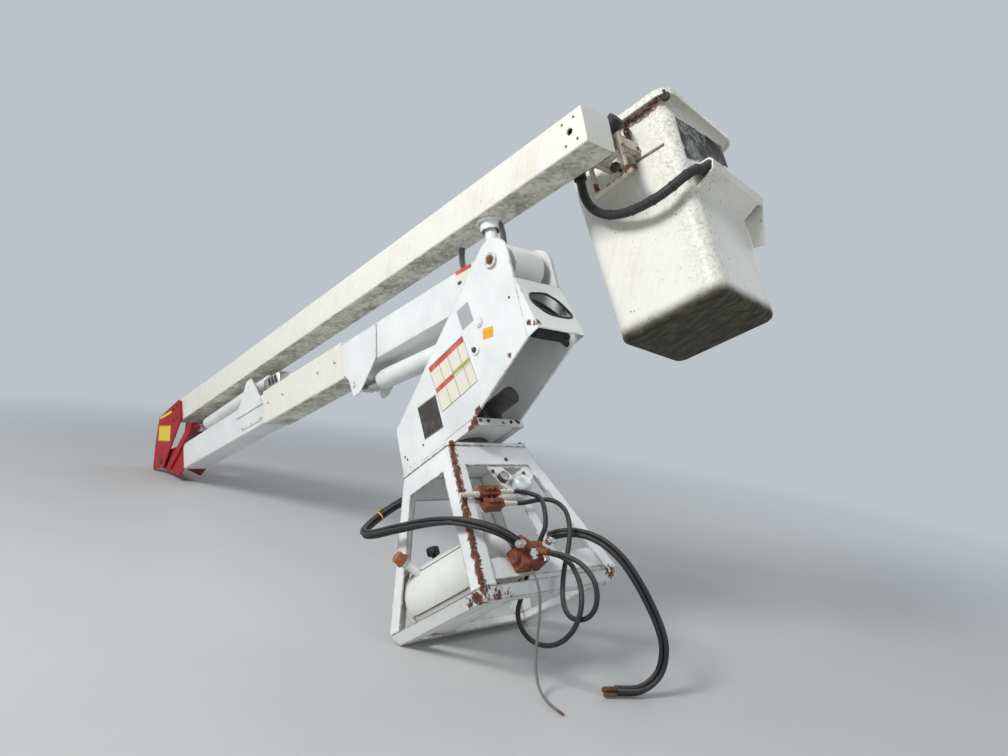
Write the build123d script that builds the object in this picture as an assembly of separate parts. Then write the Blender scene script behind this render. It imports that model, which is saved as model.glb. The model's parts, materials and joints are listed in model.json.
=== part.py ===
"""Articulated aerial lift, taken off its truck: pedestal, turret, two booms and a bucket.

Millimetres. The lift is modelled upright in the machine frame, where the turning axis is +Z
and the bucket is towards +X, with the origin at the centre of the pedestal's foot. The lower
boom has a frame of its own: its origin is the boom's pivot pin, the elbow is towards -X, and
+Z is the boom's upper side. The upper boom is drawn in that frame too, folded down as parked.
At the end everything is leaned over until it lies on the pedestal's heel and on the elbow,
which is how the lift lies on the ground.
"""
from build123d import *
from math import asin, atan2, cos, degrees, hypot, pi, radians, sin, tan
import os

# Pedestal, from its foot up
foot_half_x = 350
foot_half_y = 430
top_half_x = 190
top_half_y = 255
pedestal_height = 708
pedestal_wall = 8
post_width = 78
apron_height = 112
ring_depth = 55
ring_taper = 24
ring_wall = 8
ring_flange = 70
base_bolt_r = 11
top_plate_thick = 16
slew_r = 132
slew_bore_r = 70
slew_thick = 28
slew_gap = 1.0

# Reservoir inside the pedestal
tank_r = 165
tank_length = 580
tank_wall = 5
tank_knuckle = 90
tank_x = -10
tank_y = -212
tank_z = 112
saddle_thick = 12
saddle_half = 95
saddle_inset = 6           # from the inner edge of the ring's flange
neck_x = -150
neck_rise = 41             # degrees above the level, on the near side
neck_r = 21
neck_length = 92
cap_r = 28
cap_length = 46
breather_x = -165
breather_r = 31
breather_height = 40

# Valves and fittings on the +X side of the pedestal, by distance out of the face, Y and height up it
bracket_thick = 6
brace_top = 622
brace_low = 440
cross_plate_low = 25
cross_plate_top = 125
upper_block = (42, -240, -118, 415, 462)    # depth out of the face, two values of Y, two heights
lower_block = (38, -230, -125, 352, 395)
swivel_block = (75, -215, -70, 40, 140)
tube_r = 11
tube_out = 20
gauge_y = -15
gauge_up = 534
gauge_r = 26
gauge_depth = 20
bowl_y = 75
bowl_up = 486
bowl_r = 52
bowl_depth = 46
hose_boss_r = 15

# Hose bundle clamps and thick bosses
bundle_boss_r = 32

# Turret
turret_half_y = 155
turret_plate = 12
turret_base_x0 = -310
turret_base_x1 = 312
turret_base_thick = 16
lip_depth = 24
lip_thick = 8
ear_r = 110
turret_left_x = -278
turret_left_top = 1026
turret_nose_x = 775
turret_nose_z = 955
hood_low_x = 852
hood_low_z = 960
hood_top_x = 822
hood_top_z = 1250
hood_sheet = 6
hood_opening = ((-78, 166, 42), (-48, 128, 34), (20, 118, 31), (104, 117, 25), (62, 170, 30),
                (10, 190, 36))      # round corners: Y, height above the hood's lower edge, radius

# Pivots, as x and z in the machine frame
boom_pivot_x = 725
boom_pivot_z = 1416
lift_pin_x = 527
lift_pin_z = 1194
boom_rise = 12.25          # degrees, the folded booms above the pedestal's own level

# Lower boom, along its own frame
boom_half_y = 95
lower_top = 90
lower_bottom = -120
steel_wall = 6
lower_root_r = 105
insert_x0 = -1440
insert_x1 = -2487
insert_top = 107
insert_bottom = -131
insert_half_y = 97
insert_wall = 12
lower_end_x = -3967
pivot_tube_r = 62
pivot_pin_r = 24
lug_x = -1335
lug_z = -202
lug_tip_z = -272
lug_plate = 8
stub_r = 16

# Elbow
elbow_x = -4420
elbow_z = 60
elbow_pin_r = 22
elbow_plate = 10
elbow_heel_x = -4570
elbow_heel_z = 32
upper_plate_y = 113
lower_plate_y = 85
link_y = 100
link_thick = 8
link_end_x = -3790
link_end_z = 190
link_base_x = -4255
link_base_z = -30
link_half_width = 32
heel_corner_r = 30

# Upper boom
upper_z0 = 298
upper_z1 = 486
upper_x0 = 630
upper_x1 = -4032
frp_wall = 10
sleeve_x = -3460
sleeve_thick = 3
tip_pin_x = 544
tip_pin_z = 395
tip_bolt_half = 35
tip_bolt_rise = 55
tip_bolt_r = 7
tip_bore_r = 17
tip_shaft_r = 25

# Rest between the booms
rest_x = -125
rest_post_r = 32
rest_cup_r = 52
rest_cup_wall = 7
rest_cup_depth = 52

# Lift cylinders: bore ends, rods and how far they slide
lift_barrel_r = 57
lift_rod_r = 28
upper_barrel_r = 48
upper_rod_r = 24
trunnion_x = -2693
trunnion_z = 205
eye_half = 28
fit_gap = 0.3

# Bucket, in its own frame: origin at the middle of its floor
bucket_lean = 6.6          # degrees from the machine's vertical, with the top towards +X
bucket_roll = -2.0         # and with the top towards the far side
bucket_yaw = 5.4           # it has swung round on its hanger
bucket_x = 1179
bucket_z = 835
bucket_y = 570
bucket_floor_half = 275
bucket_top_half = 306
bucket_height = 1050
bucket_wall = 8
bucket_floor_wall = 10
bucket_corner_r = 62
bucket_rim_width = 42
bucket_rim_thick = 16
bucket_rim_drop = 34
hub_r = 58
hub_y0 = 150
hub_y1 = 190
cover_top = 655            # console cover outside the bucket's front
cover_low = 543
cover_out = 104
cover_nose = 24            # below the top
cover_chin = 66
cover_wall = 8
cover_y0 = -227
cover_y1 = 296
cover_gap = 46             # open below at its far end
cover_tail = 392
cover_tail_out = 58

# Hoses and bundles: diameter and route in the machine frame
tip_sheath_d = 47
tip_sheath = [(1115, 222, 1706), (1103, 222, 1654), (1098, 222, 1597), (1108, 222, 1537), (1140, 222, 1475),
              (1190, 222, 1424), (1250, 222, 1386), (1315, 222, 1360), (1381, 224, 1342), (1440, 230, 1334),
              (1494, 241, 1337), (1542, 261, 1350), (1580, 293, 1370), (1603, 337, 1390), (1611, 386, 1403),
              (1607.1, 430.9, 1403.9), (1601.2, 490.6, 1401.8)]
supply_bundle_d = 46
supply_bundle = [(-234, -100, 650), (-292, -102, 664), (-354, -110, 674), (-415, -132, 676), (-468, -170, 662),
                 (-502, -222, 636), (-512, -280, 602), (-494, -334, 566), (-452, -374, 532), (-394, -396, 504),
                 (-324, -408, 480), (-246, -412, 460), (-165, -413, 441), (-85, -410, 420), (-5, -408, 401),
                 (75, -404, 379), (140, -401, 359), (202, -399, 336), (262, -396, 312), (322, -384, 280),
                 (370, -356, 246), (400, -314, 212), (408, -265, 180), (398, -216, 152)]
loop_d = 22
hose_loop_a = [(273, -20, 434), (273, 10, 434), (283, 40, 425), (301, 61, 409), (324, 71, 389),
               (349, 66, 366), (370, 48, 336), (384, 30, 298), (388, 14, 254), (378, 4, 214),
               (350, -6, 184), (306, -16, 145), (256, -25, 94), (206, -38, 38), (168, -60, -26),
               (146, -94, -88), (158, -110, -154), (200, -124, -214), (266, -132, -258), (346, -138, -281),
               (430, -138, -276), (498, -128, -240), (538, -110, -178), (544, -84, -104), (524, -64, -34),
               (496, -50, 16), (464, -52, 50), (438, -60, 71), (416, -77, 86)]
hose_loop_b = [(286, -35, 370), (285, -5, 370), (286, 26, 371), (292, 58, 373), (309, 86, 372),
               (336, 105, 364), (370, 114, 345), (404, 113, 314), (434, 104, 276), (453, 88, 228),
               (460, 65, 172), (445, 40, 101), (419, 12, 38), (396, -10, -24), (384, -30, -84),
               (388, -52, -138), (414, -72, -186), (466, -90, -218), (530, -102, -232), (590, -108, -218),
               (632, -112, -176), (646, -112, -120), (632, -112, -66), (602, -114, -18), (560, -118, 20),
               (516, -124, 50), (474, -130, 72)]
long_hoses_d = 48
long_hoses = [(315, 76, 190), (359, 97, 186), (403, 125, 171), (447, 146, 146), (492, 160, 111), (531, 172, 68),
              (559, 186, 17), (577, 203, -36), (587, 217, -95), (589, 236, -156), (583, 259, -218),
              (575, 280, -283), (566, 295, -347), (545, 306, -415), (499, 305, -482), (465, 286, -516),
              (431, 252, -537), (403, 209, -541), (384, 162, -528), (366, 115, -514)]
drain_hose_d = 12
drain_hose = [(381, -165, 34), (387, -165, 1), (391, -165, -36), (380, -166, -85), (358, -167, -136),
              (327, -169, -187), (294, -171, -240), (266, -175, -293), (246, -181, -348),
              (242, -189, -402), (260, -199, -449), (298, -209, -489), (342, -217, -520)]
coupling_r = 10
coupling_length = 55

parts = {}


def block(x0, x1, y0, y1, z0, z1):
    size = (abs(x1 - x0), abs(y1 - y0), abs(z1 - z0))
    return Pos((x0 + x1) / 2, (y0 + y1) / 2, (z0 + z1) / 2) * Box(*size)


def post_z(x, y, r, z0, z1):
    return Pos(x, y, (z0 + z1) / 2) * Cylinder(r, z1 - z0)


def pin_y(x, z, r, y0, y1):
    return Pos(x, (y0 + y1) / 2, z) * Rot(90, 0, 0) * Cylinder(r, y1 - y0)


def rod_x(x0, x1, y, z, r):
    return Pos((x0 + x1) / 2, y, z) * Rot(0, 90, 0) * Cylinder(r, abs(x1 - x0))


def outline(*points):
    """Closed flat outline in X and Z."""
    return Plane.XZ * make_face(Polyline(*points, close=True))


def slab(face, y0, y1):
    """A flat XZ outline made solid between two values of Y."""
    return Pos(0, y1, 0) * extrude(face, y1 - y0, dir=(0, -1, 0))


def both_sides(shape):
    return shape + mirror(shape, Plane.XZ)


def hull_plate(circles, y0, y1):
    """Plate whose outline wraps round circles given as x, z and radius."""
    edges = []
    for x, z, r in circles:
        edges += (Pos(x, z) * Circle(r)).edges()
    return slab(Plane.XZ * make_hull(edges), y0, y1)


def tapered(half_x0, half_y0, z0, half_x1, half_y1, z1):
    low = Pos(0, 0, z0) * Rectangle(2 * half_x0, 2 * half_y0)
    high = Pos(0, 0, z1) * Rectangle(2 * half_x1, 2 * half_y1)
    return loft([low, high], ruled=True)


def half_at(foot, top, z):
    """Half width of the pedestal at a height."""
    return foot + (top - foot) * z / pedestal_height


def box_tube(x0, x1, half_y, z0, z1, wall, corner):
    """Closed box beam along X with rounded long edges."""
    outer = block(x0, x1, -half_y, half_y, z0, z1)
    outer = fillet(outer.edges().filter_by(Axis.X), corner)
    inner = block(x0 - wall if x0 > x1 else x0 + wall, x1 + wall if x0 > x1 else x1 - wall,
                  -half_y + wall, half_y - wall, z0 + wall, z1 - wall)
    return outer - inner


def turn_to(x0, z0, x1, z1):
    """Angle about Y that lays +X along the line from one point to the other."""
    return -degrees(atan2(z1 - z0, x1 - x0))


boom_frame = Pos(boom_pivot_x, 0, boom_pivot_z) * Rot(0, boom_rise, 0)
hanger_frame = Pos(bucket_x, bucket_y, bucket_z) * Rot(0, bucket_lean, 0)
bucket_frame = (Pos(bucket_x, bucket_y, bucket_z) * Rot(0, 0, bucket_yaw) * Rot(0, bucket_lean, 0)
                * Rot(bucket_roll, 0, 0))


def from_boom(x, z):
    """A point of the boom's frame, as x and z in the machine frame."""
    rise = radians(boom_rise)
    return boom_pivot_x + x * cos(rise) + z * sin(rise), boom_pivot_z - x * sin(rise) + z * cos(rise)


def to_boom(x, z):
    """A point of the machine frame, as x and z in the boom's frame."""
    rise = radians(boom_rise)
    dx = x - boom_pivot_x
    dz = z - boom_pivot_z
    return dx * cos(rise) - dz * sin(rise), dx * sin(rise) + dz * cos(rise)


# Pedestal frame: four corner posts under an apron, from one folded and welded shell
shell = tapered(foot_half_x, foot_half_y, 0, top_half_x, top_half_y, pedestal_height)
shell -= tapered(foot_half_x - pedestal_wall, foot_half_y - pedestal_wall, 0,
                 top_half_x - pedestal_wall, top_half_y - pedestal_wall, pedestal_height)
window_top = pedestal_height - apron_height


def window(foot, top):
    low = half_at(foot, top, 0) - post_width
    high = half_at(foot, top, window_top) - post_width
    return [(-low, -1), (low, -1), (high, window_top), (-high, window_top)]


window_x = slab(outline(*window(foot_half_x, top_half_x)), -2 * foot_half_y, 2 * foot_half_y)
window_y = Rot(0, 0, 90) * slab(outline(*window(foot_half_y, top_half_y)),
                                -2 * foot_half_y, 2 * foot_half_y)
parts["pedestal_frame"] = shell - window_x - window_y

# Base ring: tapered skirt with a bolting flange turned inwards at the bottom
ring_low_x = foot_half_x - ring_taper
ring_low_y = foot_half_y - ring_taper
skirt = tapered(ring_low_x, ring_low_y, -ring_depth, foot_half_x, foot_half_y, 0)
skirt -= tapered(ring_low_x - ring_wall, ring_low_y - ring_wall, -ring_depth,
                 foot_half_x - ring_wall, foot_half_y - ring_wall, 0)
flange = block(-ring_low_x + 1, ring_low_x - 1, -ring_low_y + 1, ring_low_y - 1,
               -ring_depth, -ring_depth + ring_wall)
flange -= block(-ring_low_x + ring_flange, ring_low_x - ring_flange,
                -ring_low_y + ring_flange, ring_low_y - ring_flange, -ring_depth, 0)
for bolt_x in (-1, 1):
    for bolt_y in (-1, 0, 1):
        flange -= post_z(bolt_x * (ring_low_x - ring_flange / 2), bolt_y * (ring_low_y - ring_flange / 2),
                         base_bolt_r, -2 * ring_depth, 0)
parts["base_ring"] = skirt + flange

top_z = pedestal_height + top_plate_thick
top_plate = block(-top_half_x - 6, top_half_x + 6, -top_half_y - 6, top_half_y + 6, pedestal_height, top_z)
top_plate = fillet(top_plate.edges().filter_by(Axis.Z), 14)
parts["top_plate"] = top_plate - post_z(0, 0, slew_bore_r, pedestal_height - 1, top_z + 1)

# Slewing ring: the fixed race on the pedestal and the turning race under the turret
race_z = top_z + slew_thick
turret_z = race_z + slew_gap + slew_thick
parts["slew_ring"] = post_z(0, 0, slew_r, top_z, race_z) - post_z(0, 0, slew_bore_r, top_z - 1, race_z + 1)
parts["slew_race"] = (post_z(0, 0, slew_r + 8, race_z + slew_gap, turret_z)
                      - post_z(0, 0, slew_bore_r, race_z, turret_z + 1))


# Reservoir: a drum with domed ends along X, on a saddle at each end
def drum(r, length, knuckle):
    """Drum along X with rounded ends."""
    body = rod_x(-length / 2, length / 2, 0, 0, r)
    return fillet(body.edges().filter_by(GeomType.CIRCLE), knuckle)


tank_place = Pos(tank_x, tank_y, tank_z)
tank_outer = tank_place * drum(tank_r, tank_length, tank_knuckle)
tank_inner = tank_place * drum(tank_r - tank_wall, tank_length - 2 * tank_wall, tank_knuckle - tank_wall)
parts["reservoir"] = tank_outer - tank_inner
flange_inner = ring_low_x - ring_flange
saddles = Part()
for side in (-1, 1):
    saddle_x = side * (flange_inner + saddle_inset)
    saddles += block(saddle_x, saddle_x + side * saddle_thick, tank_y - saddle_half, tank_y + saddle_half,
                     -ring_depth + ring_wall, tank_z - tank_r / 2) - tank_outer
parts["reservoir_saddles"] = saddles

neck_frame = Pos(neck_x, tank_y, tank_z) * Rot(90 - neck_rise, 0, 0)
neck = neck_frame * post_z(0, 0, neck_r, 0, tank_r + neck_length) - tank_outer
neck += neck_frame * post_z(0, 0, neck_r + 6, tank_r + neck_length - 14, tank_r + neck_length)
cap_base = tank_r + neck_length
cap = post_z(0, 0, cap_r, cap_base, cap_base + cap_length)
cap = fillet(cap.edges().sort_by(Axis.Z)[-1], 8)
cap += post_z(0, 0, cap_r + 5, cap_base, cap_base + 12)
parts["filler_neck"] = neck
parts["filler_cap"] = neck_frame * cap
breather = post_z(0, 0, 12, 0, tank_r + 30)
breather += fillet(post_z(0, 0, breather_r, tank_r + 22, tank_r + 22 + breather_height).edges(), 9)
parts["breather"] = Pos(breather_x, tank_y, tank_z) * breather - tank_outer

# Face frame on the +X side: X out of the sheet, Z up the sheet from the foot
face_lean = degrees(atan2(foot_half_x - top_half_x, pedestal_height))
face_frame = Pos(foot_half_x, 0, 0) * Rot(0, -face_lean, 0)
face_in = -pedestal_wall * cos(radians(face_lean))
plate_in = face_in - bracket_thick


def on_face(x, y, z):
    """A point of the face frame in the machine frame."""
    turned = radians(face_lean)
    return (foot_half_x + x * cos(turned) - z * sin(turned), y, x * sin(turned) + z * cos(turned))


def face_plate(*corners):
    """Flat bracket against the inside of the +X sheet, from corners in Y and Z."""
    flat = Plane.YZ * make_face(Polyline(*corners, close=True))
    return Pos(plate_in, 0, 0) * extrude(flat, bracket_thick, dir=(1, 0, 0))


# Valve bracket: a V brace with a window, a centre strip and a cross plate from post to post
bracket = face_plate((-80, brace_top), (-22, brace_low + 40), (35, brace_low), (95, brace_low),
                     (150, brace_low + 50), (224, brace_top - 56), (214, brace_top))
bracket -= Pos(plate_in - 1, 0, 0) * extrude(
    Plane.YZ * make_face(Polyline((32, 600), (158, 600), (66, 552), close=True)), 2 * bracket_thick, dir=(1, 0, 0))
bracket += face_plate((35, brace_low + 1), (95, brace_low + 1), (95, cross_plate_top - 1),
                      (35, cross_plate_top - 1))
cross_y = half_at(foot_half_y, top_half_y, cross_plate_top) - post_width / 2
bracket += face_plate((-cross_y, cross_plate_low), (cross_y, cross_plate_low), (cross_y, cross_plate_top),
                      (-cross_y, cross_plate_top))
strap_y = half_at(foot_half_y, top_half_y, upper_block[3]) - post_width / 2
bracket += face_plate((-strap_y, upper_block[3] - 12), (36, upper_block[3] - 12), (36, upper_block[4] - 12),
                      (-strap_y, upper_block[4] - 12))
bracket += face_plate((lower_block[1], lower_block[3]), (lower_block[2], lower_block[3]),
                      (lower_block[2], upper_block[3] - 11), (lower_block[1], upper_block[3] - 11))


def face_block(size):
    """Block on the bracket's plane from its depth out of the face, Y and height."""
    out, y0, y1, z0, z1 = size
    return fillet(block(face_in, out, y0, y1, z0, z1).edges().filter_by(Axis.X), 9)


def along(start, heading, length, r):
    """Round bar from a point in a direction."""
    return Plane(origin=start, z_dir=heading) * Pos(0, 0, length / 2) * Cylinder(r, length)


def step(a, b):
    """Direction from one point to the next."""
    return (Vector(*b) - Vector(*a)).normalized()


def start_boss(route, length, r):
    """Boss that a route leaves from, behind its first point."""
    return along(route[0], step(route[1], route[0]), length, r)


def end_boss(route, length, r):
    """Boss that a route runs into, beyond its last point."""
    return along(route[-1], step(route[-2], route[-1]), length, r)


parts["valve_bracket"] = face_frame * bracket + start_boss(long_hoses, 24, bundle_boss_r)

# Control valve: two rusted blocks one over the other, with spools between and cream tubes out
control = face_block(upper_block) + face_block(lower_block)
for spool_y in (-208, -176, -146):
    control += Pos(tube_out, spool_y, (upper_block[3] + lower_block[4]) / 2) * Cylinder(12, 24)
    control += rod_x(upper_block[0] - 2, upper_block[0] + 16, spool_y, 440, 11)
    control += rod_x(lower_block[0] - 2, lower_block[0] + 14, spool_y, 374, 10)
control = face_frame * control
parts["control_valve"] = control

tubes = pin_y(tube_out, 430, tube_r - 1, -345, upper_block[1])
tubes += pin_y(tube_out, 430, tube_r + 4, upper_block[1] - 22, upper_block[1])
parts["feed_tube"] = face_frame * tubes
upper_port = on_face(tube_out, upper_block[2], 438)
lower_port = on_face(tube_out, lower_block[2], 374)
for name, port, route in (("upper_tube", upper_port, hose_loop_a), ("lower_tube", lower_port, hose_loop_b)):
    reach = Vector(*route[0]) - Vector(*port)
    tube = start_boss(route, reach.length, tube_r)
    tube += along(port, reach.normalized(), 22, tube_r + 4)
    parts[name] = tube - control

# Swivel valve on the cross plate, with its ports and handle
swivel = face_block(swivel_block)
swivel += rod_x(face_in, 96, -180, 118, 26) + rod_x(face_in, 92, -112, 66, 24)
swivel += pin_y(40, 96, 30, -236, -50)
swivel += Pos(38, -142, 150) * Cylinder(24, 44) + Pos(38, -142, 178) * Cylinder(15, 22)
swivel = face_frame * swivel
swivel += end_boss(hose_loop_a, 40, hose_boss_r) + end_boss(hose_loop_b, 62, hose_boss_r)
swivel += end_boss(supply_bundle, 40, bundle_boss_r) + start_boss(drain_hose, 30, 10)
parts["swivel_valve"] = swivel

gauge = rod_x(face_in, gauge_depth, gauge_y, gauge_up, gauge_r)
gauge -= rod_x(gauge_depth - 5, gauge_depth + 1, gauge_y, gauge_up, gauge_r - 4)
parts["gauge"] = face_frame * gauge
bowl = rod_x(face_in, bowl_depth, bowl_y, bowl_up, bowl_r)
bowl = fillet(bowl.faces().sort_by(Axis.X)[-1].edges(), 34)
parts["filter_bowl"] = face_frame * bowl

# Gland on the -X apron where the supply bundle leaves
apron_gland = start_boss(supply_bundle, 46, bundle_boss_r)
apron_gland -= tapered(foot_half_x, foot_half_y, 0, top_half_x, top_half_y, pedestal_height)
parts["bundle_gland"] = apron_gland

# Turret base plate with folded edges
turret_top = turret_z + turret_base_thick
base = block(turret_base_x0, turret_base_x1, -turret_half_y, turret_half_y, turret_z, turret_top)
for side in (-1, 1):
    base += block(turret_base_x0, turret_base_x1, side * turret_half_y, side * (turret_half_y - lip_thick),
                  turret_z - lip_depth, turret_z)
base += block(turret_base_x1 - lip_thick, turret_base_x1, -turret_half_y, turret_half_y,
              turret_z - lip_depth, turret_z)
base -= post_z(0, 0, slew_bore_r, turret_z - 1, turret_top + 1)
parts["turret_base"] = base

# Side plates with the ears that hold the lower boom
inner_y = turret_half_y - turret_plate
ear = Pos(boom_pivot_x, boom_pivot_z) * Circle(ear_r)
corners = Polyline((turret_base_x0, turret_top), (turret_nose_x, turret_nose_z),
                   (turret_left_x, turret_left_top), (turret_base_x1, turret_top), close=False)
side_edges = list(ear.edges()) + list(corners.edges())
side = slab(Plane.XZ * make_hull(side_edges), inner_y, turret_half_y)
side -= pin_y(boom_pivot_x, boom_pivot_z, pivot_pin_r + fit_gap, 0, 2 * turret_half_y)
side -= pin_y(lift_pin_x, lift_pin_z, stub_r + fit_gap, 0, 2 * turret_half_y)
parts["turret_side_far"] = side
parts["turret_side_near"] = mirror(side, Plane.XZ)
parts["turret_back"] = block(turret_base_x0 + 12, turret_base_x0 + 20, -inner_y, inner_y,
                             turret_top, turret_left_top - 30)

# Hood: a bent sheet over the turret's nose with a leaf-shaped opening
hood_face = [(hood_low_x, hood_low_z), (hood_top_x, hood_top_z),
             (hood_top_x - hood_sheet, hood_top_z), (hood_low_x - hood_sheet, hood_low_z)]
hood = slab(outline(*hood_face), -turret_half_y, turret_half_y)
hood_angle = turn_to(hood_low_x, hood_low_z, hood_top_x, hood_top_z)
hood -= Pos(0, 0, hood_low_z) * Rot(0, 0, 90) * hull_plate(hood_opening, -hood_low_x - 20, -hood_top_x + 80)
ear_right = boom_pivot_x + ear_r
edge_slope = (ear_right - turret_nose_x) / (boom_pivot_z - turret_nose_z)
flap_top_x = turret_nose_x + edge_slope * (hood_top_z - turret_nose_z)
flap = slab(outline((turret_nose_x + 1, turret_nose_z), (hood_low_x - 1, hood_low_z),
                    (hood_top_x - 1, hood_top_z), (flap_top_x + 1, hood_top_z)),
            turret_half_y - hood_sheet, turret_half_y)
parts["hood"] = hood + both_sides(flap)

# Rotation gearbox with its motor, on the turret base
gearbox = block(150, 290, -62, 62, turret_top, turret_top + 105)
gearbox = fillet(gearbox.edges().filter_by(Axis.Z), 18)
gearbox += rod_x(285, 440, 0, turret_top + 62, 46)
parts["rotation_gearbox"] = gearbox

# Pivot pins of the turret with their collars
boom_pin = pin_y(boom_pivot_x, boom_pivot_z, pivot_pin_r, -turret_half_y - 12, turret_half_y + 12)
for y0, y1 in ((turret_half_y, turret_half_y + 10), (-turret_half_y - 10, -turret_half_y)):
    boom_pin += pin_y(boom_pivot_x, boom_pivot_z, pivot_pin_r + 13, y0, y1)
parts["boom_pin"] = boom_pin
lift_pin = pin_y(lift_pin_x, lift_pin_z, stub_r, -turret_half_y - 8, turret_half_y + 8)
for y0, y1 in ((turret_half_y, turret_half_y + 6), (-turret_half_y - 6, -turret_half_y)):
    lift_pin += pin_y(lift_pin_x, lift_pin_z, stub_r + 9, y0, y1)
parts["lift_pin"] = lift_pin

# Lower boom: steel root with its lugs, fibreglass insert and steel elbow section
root_profile = outline((insert_x0, lower_bottom), (0, lower_bottom), (0, lower_top), (insert_x0, lower_top))
mid_z = (lower_top + lower_bottom) / 2
root = slab(root_profile, -boom_half_y, boom_half_y)
root = fillet(root.edges().filter_by(Axis.X), 8)
root -= block(insert_x0 + steel_wall, -lower_root_r, -boom_half_y + steel_wall, boom_half_y - steel_wall,
              lower_bottom + steel_wall, lower_top - steel_wall)
root += pin_y(0, mid_z, lower_root_r - 1, -boom_half_y, boom_half_y)
root += pin_y(0, 0, pivot_tube_r, -inner_y + 3, inner_y - 3)
root -= pin_y(0, 0, pivot_pin_r + fit_gap, -turret_half_y, turret_half_y)
lug_points = [(insert_x0 + 2, lower_top - 12), (insert_x0 + 2, lower_bottom + 12), (lug_x - 50, lug_z + 47),
              (lug_x - 17, lug_tip_z + 8), (lug_x, lug_tip_z), (lug_x + 60, lug_tip_z + 10),
              (lug_x + 252, lower_bottom + 8), (lug_x + 285, lower_top - 12)]
doubler = slab(outline(*lug_points), boom_half_y, boom_half_y + lug_plate)
stub = pin_y(lug_x, lug_z, stub_r, 42, boom_half_y + lug_plate + 6)
stub += pin_y(lug_x, lug_z, stub_r + 14, 62, boom_half_y)
root += both_sides(doubler + stub)
parts["lower_boom_root"] = root

parts["lower_boom_insert"] = box_tube(insert_x0, insert_x1, insert_half_y, insert_bottom, insert_top,
                                      insert_wall, 14)
elbow_section = box_tube(insert_x1, lower_end_x, boom_half_y, lower_bottom, lower_top, steel_wall, 8)
parts["lower_boom_elbow_section"] = elbow_section

# Trunnion ears for the upper cylinder, welded to the sides of the lower boom
trunnion_ear = slab(outline((trunnion_x - 230, 20), (trunnion_x + 195, 20), (trunnion_x + 150, lower_top + 10),
                            (trunnion_x + 45, trunnion_z + 45), (trunnion_x - 30, trunnion_z + 45),
                            (trunnion_x - 150, lower_top + 20), (trunnion_x - 230, 70)),
                    boom_half_y, boom_half_y + lug_plate)
trunnion_ear -= pin_y(trunnion_x, trunnion_z, stub_r + fit_gap, 0, 2 * boom_half_y)
parts["trunnion_ears"] = both_sides(trunnion_ear)

# Rest post on the lower boom and its cup under the upper boom
post_top = upper_z0 - 6
parts["rest_post"] = (post_z(rest_x, 0, rest_post_r, lower_top, post_top - 14)
                      + post_z(rest_x, 0, rest_post_r + 24, lower_top, lower_top + 8)
                      + Pos(rest_x, 0, post_top - 7) * Cone(rest_post_r, rest_post_r - 10, 14))
cup = post_z(rest_x, 0, rest_cup_r, upper_z0 - rest_cup_depth, upper_z0)
cup -= post_z(rest_x, 0, rest_cup_r - rest_cup_wall, upper_z0 - rest_cup_depth - 1, upper_z0 + 1)
cup += (post_z(rest_x, 0, rest_cup_r + 22, upper_z0 - 8, upper_z0)
        - post_z(rest_x, 0, rest_cup_r - 1, upper_z0 - 9, upper_z0 + 1))
parts["rest_cup"] = cup

# Red elbow: plates of the lower boom inside, links beside them, plates of the upper boom outside
plate_corner_r = 12
lower_plate = hull_plate([(lower_end_x - plate_corner_r, lower_top - plate_corner_r, plate_corner_r),
                          (lower_end_x - plate_corner_r, lower_bottom + plate_corner_r, plate_corner_r),
                          (lower_end_x - 128, lower_bottom - 14, 16), (elbow_x, elbow_z, 70),
                          (link_base_x, link_base_z, link_half_width + 8)],
                         lower_plate_y, lower_plate_y + elbow_plate)
lower_plate -= pin_y(elbow_x, elbow_z, elbow_pin_r + fit_gap, 0, 200)
link_stub = pin_y(link_base_x, link_base_z, stub_r, lower_plate_y + 2, link_y + link_thick + 3)
lower_pair = both_sides(lower_plate + link_stub)
lower_pair += block(lower_end_x - 34, lower_end_x - 24, -lower_plate_y, lower_plate_y,
                    lower_bottom + 6, lower_top - 6)
parts["elbow_lower_plates"] = lower_pair

upper_plate = hull_plate([(upper_x1 + 68, upper_z1 - 34, 20), (upper_x1 + 70, upper_z0 - 6, 18),
                          (elbow_x + 20, upper_z1 - 66, 22), (elbow_x - 85, elbow_z + 154, 28),
                          (elbow_heel_x, elbow_heel_z, heel_corner_r), (elbow_x + 58, elbow_z - 46, 26)],
                         upper_plate_y, upper_plate_y + elbow_plate)
upper_plate -= pin_y(elbow_x, elbow_z, elbow_pin_r + fit_gap, 0, 200)
packing = block(upper_x1 + 80, upper_x1 + 2, boom_half_y + sleeve_thick, upper_plate_y, upper_z0 + 12, upper_z1 - 26)
upper_pair = both_sides(upper_plate + packing)
upper_pair += slab(outline((elbow_x + 25, upper_z1 - 50), (upper_x1 - 18, upper_z1 - 16),
                           (upper_x1 - 18, upper_z1 - 26), (elbow_x + 25, upper_z1 - 60)),
                   -upper_plate_y, upper_plate_y)
parts["elbow_upper_plates"] = upper_pair

elbow_pin = pin_y(elbow_x, elbow_z, elbow_pin_r, -upper_plate_y - 18, upper_plate_y + 18)
for y0 in (-upper_plate_y - elbow_plate - 7, upper_plate_y + elbow_plate):
    elbow_pin += pin_y(elbow_x, elbow_z, elbow_pin_r + 14, y0, y0 + 7)
parts["elbow_pin"] = elbow_pin

link = hull_plate([(link_end_x, link_end_z, link_half_width + 3), (link_base_x, link_base_z, link_half_width)],
                  link_y, link_y + link_thick)
link -= pin_y(link_base_x, link_base_z, stub_r + fit_gap, 0, 200)
link += pin_y(link_end_x, link_end_z, stub_r, eye_half + 8, link_y + link_thick + 5)
parts["elbow_links"] = both_sides(link)

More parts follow.
